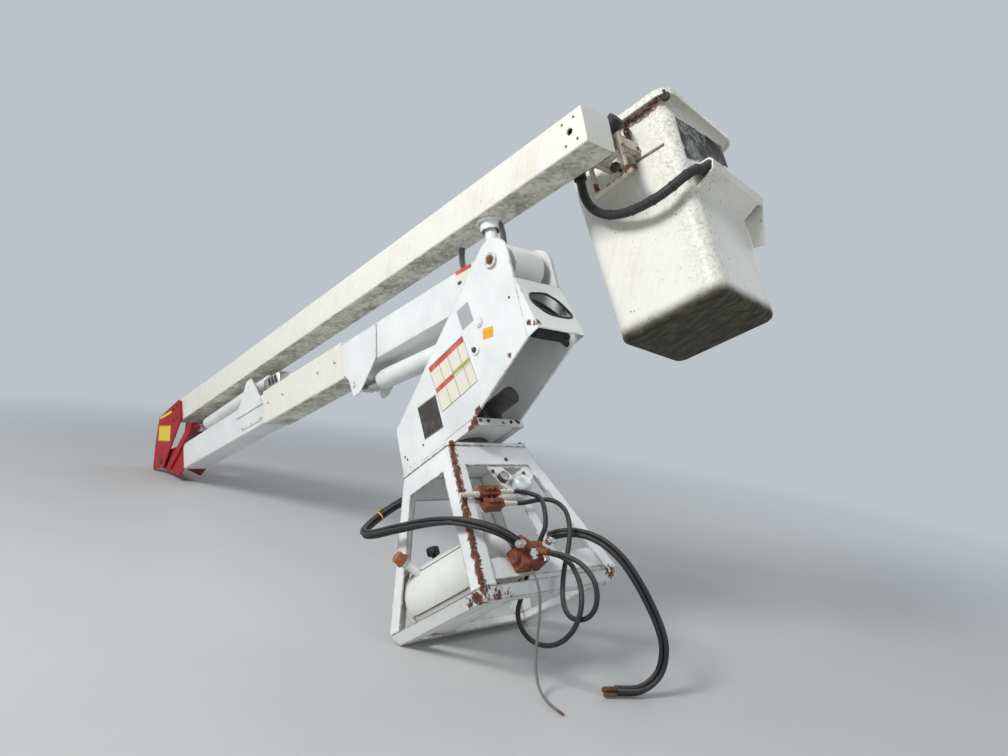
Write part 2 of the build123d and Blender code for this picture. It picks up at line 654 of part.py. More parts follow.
# Upper boom: fibreglass tube, steel sleeve at the elbow
upper = box_tube(upper_x0, upper_x1, boom_half_y, upper_z0, upper_z1, frp_wall, 12)
upper -= pin_y(tip_pin_x, tip_pin_z, tip_shaft_r + fit_gap, 0, 200)
upper -= pin_y(tip_pin_x, tip_pin_z, tip_bore_r, -200, -10)
for bolt_x in (-1, 1):
    for bolt_z in (-1, 1):
        upper -= pin_y(tip_pin_x + bolt_x * tip_bolt_half, tip_pin_z + bolt_z * tip_bolt_rise,
                       tip_bolt_r, -200, -10)
parts["upper_boom"] = upper
sleeve = block(sleeve_x, upper_x1, -boom_half_y - sleeve_thick, boom_half_y + sleeve_thick,
               upper_z0 - sleeve_thick, upper_z1 + sleeve_thick)
sleeve = fillet(sleeve.edges().filter_by(Axis.X), 14)
sleeve -= fillet(block(sleeve_x + 1, upper_x1 - 1, -boom_half_y, boom_half_y,
                       upper_z0, upper_z1).edges().filter_by(Axis.X), 12)
parts["boom_sleeve"] = sleeve

# Lift cylinder of the lower boom: barrel pinned to the turret, rod eye at the lug
lift_base = to_boom(lift_pin_x, lift_pin_z)
lift_length = hypot(lug_x - lift_base[0], lug_z - lift_base[1])
lift_place = boom_frame * Pos(lift_base[0], 0, lift_base[1]) * Rot(0, turn_to(*lift_base, lug_x, lug_z), 0)
lift_barrel_end = lift_length - 150
barrel = rod_x(58, lift_barrel_end, 0, 0, lift_barrel_r)
barrel = fillet(barrel.edges(), 12)
barrel += slab(outline((0, -38), (64, -44), (64, 44), (0, 38)), -32, 32) + pin_y(0, 0, 38, -32, 32)
barrel -= pin_y(0, 0, stub_r + fit_gap, -50, 50)
barrel -= rod_x(90, lift_length, 0, 0, lift_rod_r + fit_gap)
parts["lift_barrel"] = barrel
rod = rod_x(110, lift_length - 34, 0, 0, lift_rod_r)
rod += pin_y(lift_length, 0, 38, -eye_half, eye_half)
rod -= pin_y(lift_length, 0, stub_r + 4, -50, 50)
parts["lift_rod"] = rod

# Cylinder of the upper boom: barrel on trunnions, rod eye at the links
upper_length = hypot(link_end_x - trunnion_x, link_end_z - trunnion_z)
upper_place = Pos(trunnion_x, 0, trunnion_z) * Rot(0, turn_to(trunnion_x, trunnion_z, link_end_x, link_end_z), 0)
upper_barrel_end = upper_length - 120
barrel = rod_x(-150, upper_barrel_end, 0, 0, upper_barrel_r)
barrel = fillet(barrel.edges(), 14)
barrel += pin_y(0, 0, stub_r, -boom_half_y - lug_plate - 4, boom_half_y + lug_plate + 4)
barrel += pin_y(0, 0, stub_r + 14, -boom_half_y + 4, boom_half_y - 4)
barrel -= rod_x(60, upper_length, 0, 0, upper_rod_r + fit_gap)
parts["fold_barrel"] = barrel
rod = rod_x(80, upper_length - 26, 0, 0, upper_rod_r)
rod += pin_y(upper_length, 0, 34, -eye_half, eye_half)
rod -= pin_y(upper_length, 0, stub_r + 4, -50, 50)
parts["fold_rod"] = rod

# Bucket hanger: levelling shaft in the boom's tip, hub and fork on the bucket's side
shaft = pin_y(tip_pin_x, tip_pin_z, tip_shaft_r, -boom_half_y + 40, hub_y1 + 10)
shaft += pin_y(tip_pin_x, tip_pin_z, tip_shaft_r + 16, boom_half_y + 2, hub_y0 - 2)
shaft += pin_y(tip_pin_x, tip_pin_z, tip_shaft_r + 10, hub_y1 + 1, hub_y1 + 10)
parts["levelling_shaft"] = shaft

tip_in_machine = from_boom(tip_pin_x, tip_pin_z)
lean = radians(bucket_lean)
tip_dx = tip_in_machine[0] - bucket_x
tip_dz = tip_in_machine[1] - bucket_z
hub_x = tip_dx * cos(lean) - tip_dz * sin(lean)
hub_z = tip_dx * sin(lean) + tip_dz * cos(lean)
hub_near = hub_y0 - bucket_y
hub_far = hub_y1 - bucket_y


def bucket_half(z):
    return bucket_floor_half + (bucket_top_half - bucket_floor_half) * z / bucket_height


hanger_reach = 60          # of the hanger's arms beyond the bucket's nominal side, cut off at its skin
hanger = pin_y(hub_x, hub_z, hub_r, hub_near, hub_far)
hanger += block(hub_x - 125, hub_x + 90, hub_near + 8, hub_near + 22, hub_z - 36, hub_z + 36)
hanger_arms = (-115, 70)   # from the hub
for arm in hanger_arms:
    arm_x = hub_x + arm
    hanger += block(arm_x - 10, arm_x + 10, hub_near + 8, hub_near + 22, hub_z - 190, hub_z)
hanger += rod_x(hub_x - 140, hub_x + 100, hub_near + 15, hub_z - 182, 15)
for arm_x in (hub_x - 90, hub_x + 60):
    hanger += block(arm_x - 15, arm_x + 15, hub_far - 20, -bucket_half(hub_z) + hanger_reach, hub_z - 30, hub_z + 30)
hanger += block(hub_x - 110, hub_x + 80, hub_far - 20, hub_far - 8, hub_z - 34, hub_z + 34)
hanger -= pin_y(hub_x, hub_z, tip_shaft_r + fit_gap, hub_near - 50, hub_far + 50)
hanger -= pin_y(hub_x, hub_z, tip_shaft_r + 12, hub_far, hub_far + 14)


def rounded(half, z, r):
    return Pos(0, 0, z) * RectangleRounded(2 * half, 2 * half, r)


outer = loft([rounded(bucket_floor_half, 0, bucket_corner_r), rounded(bucket_top_half, bucket_height, bucket_corner_r)])
outer = fillet(outer.faces().sort_by(Axis.Z)[0].edges(), 28)
inner_low = bucket_half(bucket_floor_wall) - bucket_wall
inner_top = bucket_half(bucket_height + 20) - bucket_wall
cavity = loft([rounded(inner_low, bucket_floor_wall, bucket_corner_r - bucket_wall),
               rounded(inner_top, bucket_height + 20, bucket_corner_r - bucket_wall)])
cavity = fillet(cavity.faces().sort_by(Axis.Z)[0].edges(), 24)
rim_half = bucket_top_half + bucket_rim_width
rim = extrude(rounded(rim_half, bucket_height - bucket_rim_thick, bucket_corner_r + 20), bucket_rim_thick)
lip = extrude(rounded(rim_half, bucket_height - bucket_rim_drop, bucket_corner_r + 20), bucket_rim_drop)
lip -= extrude(rounded(rim_half - 8, bucket_height - bucket_rim_drop, bucket_corner_r + 12), bucket_rim_drop)
shell = outer + rim + lip
parts["bucket"] = shell - cavity
hanger -= hanger_frame.inverse() * bucket_frame * outer
parts["bucket_hanger"] = hanger

# Console cover: a hollow nose outside the bucket's front, open towards the booms and below its far end
cover_edge = bucket_half(cover_top) + cover_out
cover_root = bucket_floor_half


def cover_section(wall):
    """Section of the nose, in by a wall's thickness."""
    return outline((cover_root, cover_top - wall), (cover_edge - 14 - 0.6 * wall, cover_top - 5 - wall),
                   (cover_edge - wall, cover_top - cover_nose - 0.4 * wall),
                   (cover_edge - 12 - wall, cover_top - cover_chin + 0.4 * wall),
                   (cover_root, cover_low - 8 + 1.1 * wall))


cover = slab(cover_section(0), cover_y0, cover_y1)
cover = fillet(cover.edges().filter_by(Axis.Y).group_by(Axis.X)[-1], 7)
cover -= slab(cover_section(cover_wall), cover_y0 - 1, cover_y1 - cover_wall)
cover -= block(cover_root, cover_edge + 1, cover_y1 - cover_gap, cover_y1 - cover_wall,
               cover_low - 20, cover_top - cover_chin)
cover += slab(outline((cover_root, cover_top - 30), (cover_edge - 30, cover_top - 30),
                      (cover_edge - 14, cover_top - cover_chin), (cover_root + cover_tail_out, cover_tail),
                      (cover_root, cover_tail + 10)), cover_y1 - cover_wall, cover_y1)
sheath_end = (bucket_frame.inverse() * Pos(*tip_sheath[-1])).position.Y
cover += slab(cover_section(cover_wall - 0.5), sheath_end + 0.6, sheath_end + 0.6 + cover_wall)
parts["console_cover"] = cover - outer

# Boot that the sheath leaves from, carried by an arm of the hanger
sheath_top = hanger_frame.inverse() * Pos(*tip_sheath[0])
boot_x = sheath_top.position.X
boot_y = sheath_top.position.Y
boot_z = sheath_top.position.Z
boot = hanger_frame.inverse() * start_boss(tip_sheath, 70, bundle_boss_r)
boot += block(boot_x - 10, hub_x + hanger_arms[0], boot_y - 6, boot_y + 6, boot_z + 22, boot_z + 52)
parts["sheath_boot"] = boot - hanger


def hose(route, diameter):
    """Round hose of straight runs and the largest arcs that they allow."""
    points = [Vector(*p) for p in route]
    radii = []
    for before, corner, after in zip(points, points[1:], points[2:]):
        run = min((corner - before).length, (after - corner).length)
        radii.append(0.45 * run / tan(radians((corner - before).get_angle(after - corner)) / 2))
    path = FilletPolyline(*route, radius=radii)
    start = Plane(origin=route[0], z_dir=step(route[0], route[1]))
    tube = sweep(start * Circle(diameter / 2), path=path)
    share = tube.volume / (pi * diameter ** 2 / 4 * path.length)
    print("hose", diameter, "length", round(path.length), "least radius", round(min(radii)),
          "volume share", round(share, 4))
    return tube


hoses = {"tip_sheath": (tip_sheath, tip_sheath_d), "supply_bundle": (supply_bundle, supply_bundle_d),
         "hose_loop_a": (hose_loop_a, loop_d), "hose_loop_b": (hose_loop_b, loop_d),
         "long_hoses": (long_hoses, long_hoses_d), "drain_hose": (drain_hose, drain_hose_d)}
for name, (route, diameter) in hoses.items():
    parts[name] = hose(route, diameter)

# Couplings on the hose ends that lie on the ground
end_frame = Plane(origin=long_hoses[-1], z_dir=step(long_hoses[-2], long_hoses[-1]))
couplings = Part()
for turn_deg in (90, 210, 330):
    place = end_frame * Rot(0, 0, turn_deg) * Pos(13, 0, 0)
    couplings += place * Pos(0, 0, coupling_length / 2) * Cylinder(coupling_r, coupling_length)
parts["hose_couplings"] = couplings
parts["drain_nipple"] = end_boss(drain_hose, 28, drain_hose_d / 2 - 0.5)

# Which frame each node is drawn in
boom_nodes = ["lower_boom_root", "lower_boom_insert", "lower_boom_elbow_section", "trunnion_ears",
              "rest_post", "rest_cup", "elbow_lower_plates", "elbow_upper_plates", "elbow_pin",
              "elbow_links", "upper_boom", "boom_sleeve", "levelling_shaft"]
frames = {name: boom_frame for name in boom_nodes}
frames.update({"bucket": bucket_frame, "console_cover": bucket_frame})
frames.update({"bucket_hanger": hanger_frame, "sheath_boot": hanger_frame})
frames.update({"lift_barrel": lift_place, "lift_rod": lift_place})
frames.update({"fold_barrel": boom_frame * upper_place, "fold_rod": boom_frame * upper_place})
machine = {name: frames.get(name, Location()) * shape for name, shape in parts.items()}

# Lean it over until the heel of the base ring and the corner of the elbow are level
heel_x = -ring_low_x
heel_z = -ring_depth
corner = from_boom(elbow_heel_x, elbow_heel_z)
reach = hypot(corner[0] - heel_x, corner[1] - heel_z)
lean_angle = degrees(atan2(corner[1] - heel_z, heel_x - corner[0]) - asin(heel_corner_r / reach))
leaned = Rot(0, -lean_angle, 0)
standing = {name: leaned * shape for name, shape in machine.items()}
boxes = [shape.bounding_box() for shape in standing.values()]
x_mid = (min(b.min.X for b in boxes) + max(b.max.X for b in boxes)) / 2
y_mid = (min(b.min.Y for b in boxes) + max(b.max.Y for b in boxes)) / 2
turn = radians(lean_angle)
floor_z = heel_x * sin(turn) + heel_z * cos(turn)
ground = Pos(-x_mid, -y_mid, -floor_z)

os.makedirs("parts", exist_ok=True)
for name, shape in standing.items():
    export_step(ground * shape, f"parts/{name}.step")


def world(x, y, z):
    """A point of the machine frame on the ground, in metres."""
    gx = x * cos(turn) - z * sin(turn) - x_mid
    gz = x * sin(turn) + z * cos(turn) - floor_z
    return [round(gx / 1000, 5), round((y - y_mid) / 1000, 5), round(gz / 1000, 5)]


print("lean", round(lean_angle, 3), "boom", round(lean_angle - boom_rise, 3))
print("size", [round(v) for v in (max(b.max.X for b in boxes) - min(b.min.X for b in boxes),
                                  max(b.max.Y for b in boxes) - min(b.min.Y for b in boxes),
                                  max(b.max.Z for b in boxes) - floor_z)])
for label, x, z in [("turret", 0, race_z), ("boom", boom_pivot_x, boom_pivot_z),
                    ("elbow", *from_boom(elbow_x, elbow_z)), ("tip", *tip_in_machine),
                    ("lift_base", lift_pin_x, lift_pin_z), ("lug", *from_boom(lug_x, lug_z)),
                    ("trunnion", *from_boom(trunnion_x, trunnion_z)),
                    ("link_base", *from_boom(link_base_x, link_base_z)),
                    ("link_end", *from_boom(link_end_x, link_end_z)),
                    ("bucket", bucket_x, bucket_z), ("foot", 0, 0)]:
    print("point", label, *world(x, 0, z))
for name, (route, diameter) in hoses.items():
    print("route", name, diameter, [world(*p) for p in route])
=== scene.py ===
"""Finish, hoses and fittings of a two-boom bucket lift that lies on the ground, off its truck.

Every place is in metres in the lift's own row frame. Most places are easier to read in one of its
four working frames: the machine frame at the middle of the pedestal's foot, the boom frame at the
boom's pivot, the bucket frame at the middle of the bucket's floor, and the face frame on the sheet
that carries the valves. Tables give their places in millimetres, as on a drawing.
"""
import json
import math
import random

import bpy
from bpy.props import FloatProperty, FloatVectorProperty, PointerProperty
from mathutils import Matrix, Vector


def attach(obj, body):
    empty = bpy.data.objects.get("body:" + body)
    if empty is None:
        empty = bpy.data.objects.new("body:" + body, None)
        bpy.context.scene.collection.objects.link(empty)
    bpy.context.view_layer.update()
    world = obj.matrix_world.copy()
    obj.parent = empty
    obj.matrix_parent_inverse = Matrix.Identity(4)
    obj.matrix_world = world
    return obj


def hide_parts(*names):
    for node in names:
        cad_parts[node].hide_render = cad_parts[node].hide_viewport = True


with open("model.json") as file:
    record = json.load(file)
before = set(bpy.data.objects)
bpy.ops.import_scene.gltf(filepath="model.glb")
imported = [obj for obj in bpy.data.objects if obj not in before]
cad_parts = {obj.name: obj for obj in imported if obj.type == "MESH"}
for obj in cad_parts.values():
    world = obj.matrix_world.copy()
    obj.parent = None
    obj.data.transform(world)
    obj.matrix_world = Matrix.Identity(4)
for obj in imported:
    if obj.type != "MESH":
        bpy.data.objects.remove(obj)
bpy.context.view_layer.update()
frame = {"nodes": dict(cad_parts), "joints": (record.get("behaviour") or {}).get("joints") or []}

bl_info = {
    "name": "Bucket lift dressing",
    "version": (1, 0, 0),
    "blender": (4, 5, 0),
    "location": "3D View > Sidebar > Lift",
    "description": "Weathered finish, hoses and fittings of a bucket lift",
    "category": "Object",
}

MM = 0.001
RACE_HEIGHT = 0.752         # of the turning plane above the pedestal's foot
BOOM_RISE = 12.25           # degrees, the folded booms above the pedestal's level
BUCKET_ORIGIN = (1.179, 0.570, 0.835)
BUCKET_LEAN = 6.6           # its top leans towards +X,
BUCKET_ROLL = -2.0          # and towards the far side,
BUCKET_YAW = 5.4            # and it has swung round on its hanger
BUCKET_DRAFT = 1.69         # of its walls
FACE_LEAN = 12.73           # degrees, the sheet with the valves leans in towards its top
FOOT_HALF = 0.35            # of the pedestal's foot, from its middle to +X

# In millimetres, each in its own working frame
SIDE_PLATE = 155            # outside of the turret's side plates, across the machine
BOOM_SIDE = 95              # outside of the booms
ELBOW_SIDE = 123            # outside of the elbow's plates
BOOM_PIN = (725, 165, 1416)         # its far end
TANK = (0, -212, 112)
TANK_R = 165
GAUGE = (-15, 534)                  # across and up the face

BACKDROP = (0.50, 0.54, 0.58, 1)

JOINTS = {joint["name"]: joint for joint in frame["joints"]}
TURNING = JOINTS["turret_rotation"]
UP = Vector(TURNING["axis"])
LEAN = math.degrees(math.atan2(-UP.x, UP.z))


def turned(degrees, axis="Y"):
    return Matrix.Rotation(math.radians(degrees), 4, axis)


MACHINE = Matrix.Translation(Vector(TURNING["pos_m"]) - RACE_HEIGHT * UP) @ turned(-LEAN)
BOOM = Matrix.Translation(JOINTS["lower_boom_lift"]["pos_m"]) @ turned(BOOM_RISE - LEAN)
BUCKET = (MACHINE @ Matrix.Translation(BUCKET_ORIGIN) @ turned(BUCKET_YAW, "Z") @ turned(BUCKET_LEAN)
          @ turned(BUCKET_ROLL, "X"))
FACE = MACHINE @ Matrix.Translation((FOOT_HALF, 0, 0)) @ turned(-FACE_LEAN)

OUT_NEAR = turned(90, "X")      # turns a piece's own up to the near side, -Y
OUT_FAR = turned(-90, "X")
OUT_FRONT = turned(90, "Y")     # and to +X
OUT_BELOW = turned(180, "X")
ON_FRONT = Matrix(((0, 0, 1), (1, 0, 0), (0, 1, 0))).to_4x4()    # a sheet's X to +Y, its Y to up, out to +X


def at(base, x, y, z, turn=None):
    """A place in one of the working frames, in millimetres, with an optional turn."""
    return base @ Matrix.Translation(Vector((x, y, z)) * MM) @ (turn or Matrix())


def both_sides(base, x, y, z):
    """The places at the near and the far side, each turned outwards."""
    return [at(base, x, -y, z, OUT_NEAR), at(base, x, y, z, OUT_FAR)]


class LiftSizes(bpy.types.PropertyGroup):
    """Sizes that a user would change."""
    hose: FloatProperty(name="Hose", description="Diameter of the single hoses",
                        default=22 * MM, subtype="DISTANCE")
    bundle: FloatProperty(name="Bundle", description="Diameter of the bundle on the near side",
                          default=46 * MM, subtype="DISTANCE")
    long_bundle: FloatProperty(name="Long hoses", description="Diameter of the three long hoses together",
                               default=48 * MM, subtype="DISTANCE")
    sheath: FloatProperty(name="Sheath", description="Diameter of the wrapped sheath at the boom's tip",
                          default=47 * MM, subtype="DISTANCE")
    drain: FloatProperty(name="Drain hose", description="Diameter of the thin hose",
                         default=12 * MM, subtype="DISTANCE")
    bolt: FloatProperty(name="Bolt", description="Half width of a large bolt head",
                        default=10 * MM, subtype="DISTANCE")
    chain_link: FloatProperty(name="Chain link", description="Length of one link of the rim chain",
                              default=34 * MM, subtype="DISTANCE")
    edge_wear: FloatProperty(name="Edge wear", description="How far rust creeps in from a painted edge",
                             default=7 * MM, subtype="DISTANCE")


def colour(label, note, value):
    return FloatVectorProperty(name=label, description=note, subtype="COLOR", default=value)


class LiftColours(bpy.types.PropertyGroup):
    """Colours that a user would change."""
    white: colour("White paint", "Enamel on the steel", (0.80, 0.81, 0.79))
    cream: colour("Gelcoat", "Fibreglass of booms and bucket", (0.78, 0.765, 0.69))
    red: colour("Red paint", "Enamel on the elbow", (0.44, 0.012, 0.016))
    rust: colour("Rust", "Dry rust", (0.17, 0.055, 0.022))
    # moss colour, also used as painted shade on the fibreglass's downward faces and corners
    moss: colour("Moss", "Mould and moss on the undersides", (0.055, 0.06, 0.04))
    rubber: colour("Rubber", "Hoses and trim", (0.016, 0.016, 0.017))
    sign_red: colour("Sign red", "Bands of the blank signs", (0.55, 0.045, 0.03))
    sign_yellow: colour("Sign yellow", "Blank yellow plates on the elbow", (0.78, 0.60, 0.03))


class Value:
    """A shader socket whose arithmetic adds Math nodes."""

    def __init__(self, graph, socket):
        self.graph = graph
        self.socket = socket

    def _math(self, operation, *values):
        return self.graph.node("ShaderNodeMath", {"operation": operation}, dict(enumerate(values)))

    def __add__(self, other):
        return self._math("ADD", self, other)

    def __sub__(self, other):
        return self._math("SUBTRACT", self, other)

    def __mul__(self, other):
        return self._math("MULTIPLY", self, other)

    def __rsub__(self, other):
        return self._math("SUBTRACT", other, self)

    __radd__ = __add__
    __rmul__ = __mul__

    def above(self, low, high):
        """0 below low, 1 above high, smooth between."""
        return self.graph.node("ShaderNodeMapRange", {"interpolation_type": "SMOOTHSTEP"},
                               {"Value": self, "From Min": low, "From Max": high})

    def most(self, other):
        return self._math("MAXIMUM", self, other)

    def close_to(self, other, width):
        """1 within the width of another value, 0 elsewhere."""
        return self._math("COMPARE", self, other, width)

    def part(self, index):
        """One of the three numbers of a vector."""
        return self.graph.node("ShaderNodeSeparateXYZ", {}, {0: self}, index)


class Graph:
    """The node tree of a material or a world."""

    def __init__(self, owner):
        owner.use_nodes = True
        self.tree = owner.node_tree

    def node(self, kind, settings, sockets, out=0):
        made = self.tree.nodes.new(kind)
        for name, value in settings.items():
            setattr(made, name, value)
        for name, value in sockets.items():
            self.feed(made.inputs[name], value)
        return Value(self, made.outputs[out])

    def feed(self, socket, value):
        if isinstance(value, Value):
            self.tree.links.new(value.socket, socket)
        elif hasattr(value, "__len__") and socket.type == "RGBA" and len(value) == 3:
            socket.default_value = (*value, 1)
        else:
            socket.default_value = value

    def vector_math(self, operation, first, second=None, out=0):
        sockets = {0: first} if second is None else {0: first, 1: second}
        return self.node("ShaderNodeVectorMath", {"operation": operation}, sockets, out)


class Finish(Graph):
    """One material and its node graph."""

    def __init__(self, name):
        self.material = bpy.data.materials.new(name)
        super().__init__(self.material)
        self.shader = self.tree.nodes["Principled BSDF"]
        self.place = self.node("ShaderNodeTexCoord", {}, {}, "Object")
        self.normal = self.node("ShaderNodeNewGeometry", {}, {}, "Normal")

    def set(self, **values):
        """Sets or links the shader's sockets, an underscore standing for a space."""
        for name, value in values.items():
            self.feed(self.shader.inputs[name.replace("_", " ")], value)
        return self.material

    def mix(self, first, second, factor):
        made = self.tree.nodes.new("ShaderNodeMix")
        made.data_type = "RGBA"
        for index, value in ((0, factor), (6, first), (7, second)):
            self.feed(made.inputs[index], value)
        return Value(self, made.outputs[2])

    def stretched(self, x, y, z, base=None):
        """The piece's place in the row frame or a working frame, scaled along each axis."""
        vector = self.place
        if base is not None:
            inverse = base.inverted()
            vector = self.node("ShaderNodeMapping", {}, {
                "Vector": vector, "Location": inverse.to_translation(), "Rotation": inverse.to_euler()})
        return self.node("ShaderNodeMapping", {}, {"Vector": vector, "Scale": (x, y, z)})

    def noise(self, scale, detail=4.0, rough=0.55, place=None, twist=0.0):
        return self.node("ShaderNodeTexNoise", {}, {
            "Vector": place or self.place, "Scale": scale, "Detail": detail, "Roughness": rough,
            "Distortion": twist})

    def specks(self, scale, size, place=None):
        """Small round spots, 1 at their middle."""
        spots = self.node("ShaderNodeTexVoronoi", {}, {"Vector": place or self.place, "Scale": scale})
        return 1 - spots.above(size * 0.6, size)

    def edges(self, radius):
        """1 near a sharp edge of the piece, 0 on its flats."""
        rounded = self.node("ShaderNodeBevel", {"samples": 4}, {"Radius": radius})
        same = self.vector_math("DOT_PRODUCT", rounded, self.normal, "Value")
        return (1 - same).above(0.01, 0.12)

    def crevices(self, distance):
        """1 deep in a corner, 0 in the open, by ambient occlusion; the finishes darken with it as painted
        shade.
        """
        open_sky = self.node("ShaderNodeAmbientOcclusion", {"samples": 4, "only_local": False},
                             {"Distance": distance}, "AO")
        return (1 - open_sky).above(0.25, 0.8)

    def faces(self, direction):
        """How far the surface looks along a direction, from -1 to 1."""
        return self.vector_math("DOT_PRODUCT", self.normal, tuple(direction), "Value")

    def near_to(self, base, x, y, z, radius):
        """1 at a place in a working frame, 0 from the radius on."""
        reach = self.vector_math("DISTANCE", self.place, tuple(at(base, x, y, z).to_translation()), "Value")
        return 1 - reach.above(0.0, radius)

    def near_seam(self, start, end, radius):
        """1 on the line through two places of the machine, 0 from the radius on."""
        first, last = (at(MACHINE, *place).to_translation() for place in (start, end))
        offset = self.vector_math("SUBTRACT", self.place, tuple(first))
        across = self.vector_math("CROSS_PRODUCT", offset, tuple((last - first).normalized()))
        reach = self.vector_math("LENGTH", across, out="Value")
        return 1 - reach.above(0.0, radius)

    def bumps(self, height, strength, distance):
        return self.node("ShaderNodeBump", {}, {"Strength": strength, "Distance": distance, "Height": height})


def weathered_paint(name, paint, rust_amount, wear, dirt=0.5, patches=0.0, rusty=(), runs=0.0, gloss=0.5):
    """Enamel with streaks of dirt, chips that rust along the edges, rust patches and runs below them, and
    painted shade in its corners.
    """
    colours = bpy.context.scene.lift_colours
    finish = Finish(name)
    broad = finish.noise(3.2, 5, 0.6)
    fine = finish.noise(46, 6, 0.65)
    streaks = finish.noise(1, 5, 0.6, finish.stretched(34, 34, 3.2), 0.4)
    chips = finish.edges(wear) * (fine + broad * 0.7).above(1.05 - rust_amount, 1.2 - rust_amount)
    spots = (finish.noise(19, 8, 0.7, twist=0.6) + broad * 0.3).above(0.86 - patches, 0.9 - patches)
    ragged = finish.noise(1, 9, 0.8, finish.stretched(46, 46, 26), 0.5)
    for place in rusty:
        near = finish.near_seam(*place) if len(place) == 3 else finish.near_to(*place)
        spots = spots.most((near * 0.42 + ragged).above(0.80, 0.84))
    rusted = chips.most(spots)
    halo = (finish.noise(8, 6, 0.7) + finish.edges(3 * wear) * 0.35).above(0.74, 1.0)
    # painted shade: ambient occlusion darkens the corners, added to real streaks of dirt
    grime_and_shade = finish.crevices(0.06) * 0.75 + streaks.above(0.52, 0.78) * dirt
    run = finish.noise(1, 6, 0.7, finish.stretched(75, 75, 4.5), 0.3).above(0.6, 0.72)
    run = run * broad.above(0.4, 0.65)
    soft = finish.mix(paint, [c * 0.86 for c in paint], broad.above(0.35, 0.7))
    stained = finish.mix(soft, (0.42, 0.33, 0.20), halo * 0.35 * dirt)
    stained = finish.mix(stained, (0.30, 0.13, 0.055), run * runs)
    # the dark mix is dirt on the streaks and painted shade in the corners
    dirty_and_shaded = finish.mix(stained, (0.16, 0.145, 0.11), grime_and_shade.above(0.1, 1.5) * 0.9)
    flakes = finish.mix(colours.rust, (0.055, 0.024, 0.015), finish.noise(90, 4).above(0.4, 0.62))
    bright = finish.mix(flakes, (0.33, 0.12, 0.035), finish.noise(27, 5).above(0.55, 0.72) * 0.7)
    base = finish.mix(dirty_and_shaded, bright, rusted)
    height = rusted * -0.6 + fine * 0.25 * rusted + finish.noise(160, 2) * 0.03
    return finish.set(Base_Color=base, Roughness=0.38 + rusted * 0.5 + grime_and_shade * 0.22,
                      Normal=finish.bumps(height, 0.5, 0.0012), Specular_IOR_Level=gloss)


def gelcoat(name, cream, underside, speck_scale=70, soil=None):
    """Chalky fibreglass: dark specks, streaks down its sides, and moss with painted shade on what faces the
    ground and in its corners.
    """
    colours = bpy.context.scene.lift_colours
    finish = Finish(name)
    broad = finish.noise(2.6, 5, 0.6)
    cloud = finish.noise(9, 8, 0.72, twist=0.8)
    streaks = finish.noise(1, 6, 0.65, finish.stretched(40, 40, 3.5), 0.5)
    # faces that look down are darkened with moss colour: partly moss, partly painted shade
    below = (1 - finish.normal.part(2).above(-0.85, 0.15)) * underside
    grain = finish.noise(34, 8, 0.78, twist=0.4) * 0.6 + finish.noise(6, 6, 0.7) * 0.55
    mould_and_shade = (grain + below * 0.34).above(0.74, 1.02) * below.above(0.02, 0.3) * 0.85
    # moss colour in the corners from ambient occlusion: partly moss, partly painted shade
    mould_and_shade = mould_and_shade.most(finish.crevices(0.05) * cloud.above(0.42, 0.62) * 0.7)
    spots = finish.specks(speck_scale, 0.15) * finish.noise(11, 3).above(0.46, 0.60)
    spots = spots.most(finish.specks(speck_scale * 0.42, 0.12) * finish.noise(6, 3).above(0.44, 0.56))
    yellow = finish.mix(cream, (0.60, 0.54, 0.38), (broad * 0.6 + streaks * 0.55).above(0.52, 0.86) * 0.55)
    chalk = finish.mix(yellow, [min(1, c * 1.06) for c in cream], finish.noise(30, 5).above(0.5, 0.75) * 0.5)
    stained = finish.mix(chalk, (0.24, 0.22, 0.16), spots * 0.8)
    mossy = finish.mix(colours.moss, (0.24, 0.22, 0.15), finish.noise(70, 6, 0.75).above(0.38, 0.62))
    height = finish.noise(220, 3) * 0.05 - spots * 0.15 + mould_and_shade * 0.25
    if soil:
        stained, mossy, mould_and_shade = soil(finish, cloud, stained, mossy, mould_and_shade)
    worn = finish.mix(stained, mossy, mould_and_shade)
    return finish.set(Base_Color=worn, Roughness=0.46 + mould_and_shade * 0.4 + broad * 0.1,
                      Normal=finish.bumps(height, 0.4, 0.0008))


def bucket_soil(finish, cloud, stained, mossy, mould_and_shade):
    """Flecks on the bucket's front, a stained corner, and moss with painted shade on its damp underside."""
    local = finish.stretched(1, 1, 1, BUCKET)
    x, y, z = (local.part(index) for index in range(3))
    mould_and_shade = mould_and_shade * (1 - z.above(0.10, 0.30) * 0.85)
    front = finish.faces(BUCKET.to_3x3() @ Vector((1, 0, 0))).above(0.5, 0.9)
    flecks = finish.specks(120, 0.24).most(finish.specks(55, 0.16))
    flecks = flecks * finish.noise(5, 5, 0.7).above(0.40, 0.58)
    stained = finish.mix(stained, (0.20, 0.18, 0.12), front * flecks * 0.75)
    corner = (x - y).above(0.34, 0.58) * finish.noise(60, 8, 0.8).above(0.46, 0.6)
    stained = finish.mix(stained, (0.33, 0.30, 0.16), corner * 0.6)
    damp = finish.noise(1, 6, 0.7, finish.stretched(11, 30, 11, BUCKET), 0.3)
    # painted shade with moss: the bucket's bottom goes near-black
    bottom_moss_and_shade = (1 - (z + cloud * 0.03).above(0.03, 0.10)) * (1 - z.above(0.03, 0.14) * 0.6)
    shade_and_moss_browns = finish.mix((0.034, 0.032, 0.025), (0.105, 0.092, 0.06), damp.above(0.4, 0.66))
    mossy = finish.mix(mossy, shade_and_moss_browns, bottom_moss_and_shade)
    return stained, mossy, mould_and_shade.most(bottom_moss_and_shade * (damp * 0.6 + cloud * 0.6).above(0.05, 0.35))


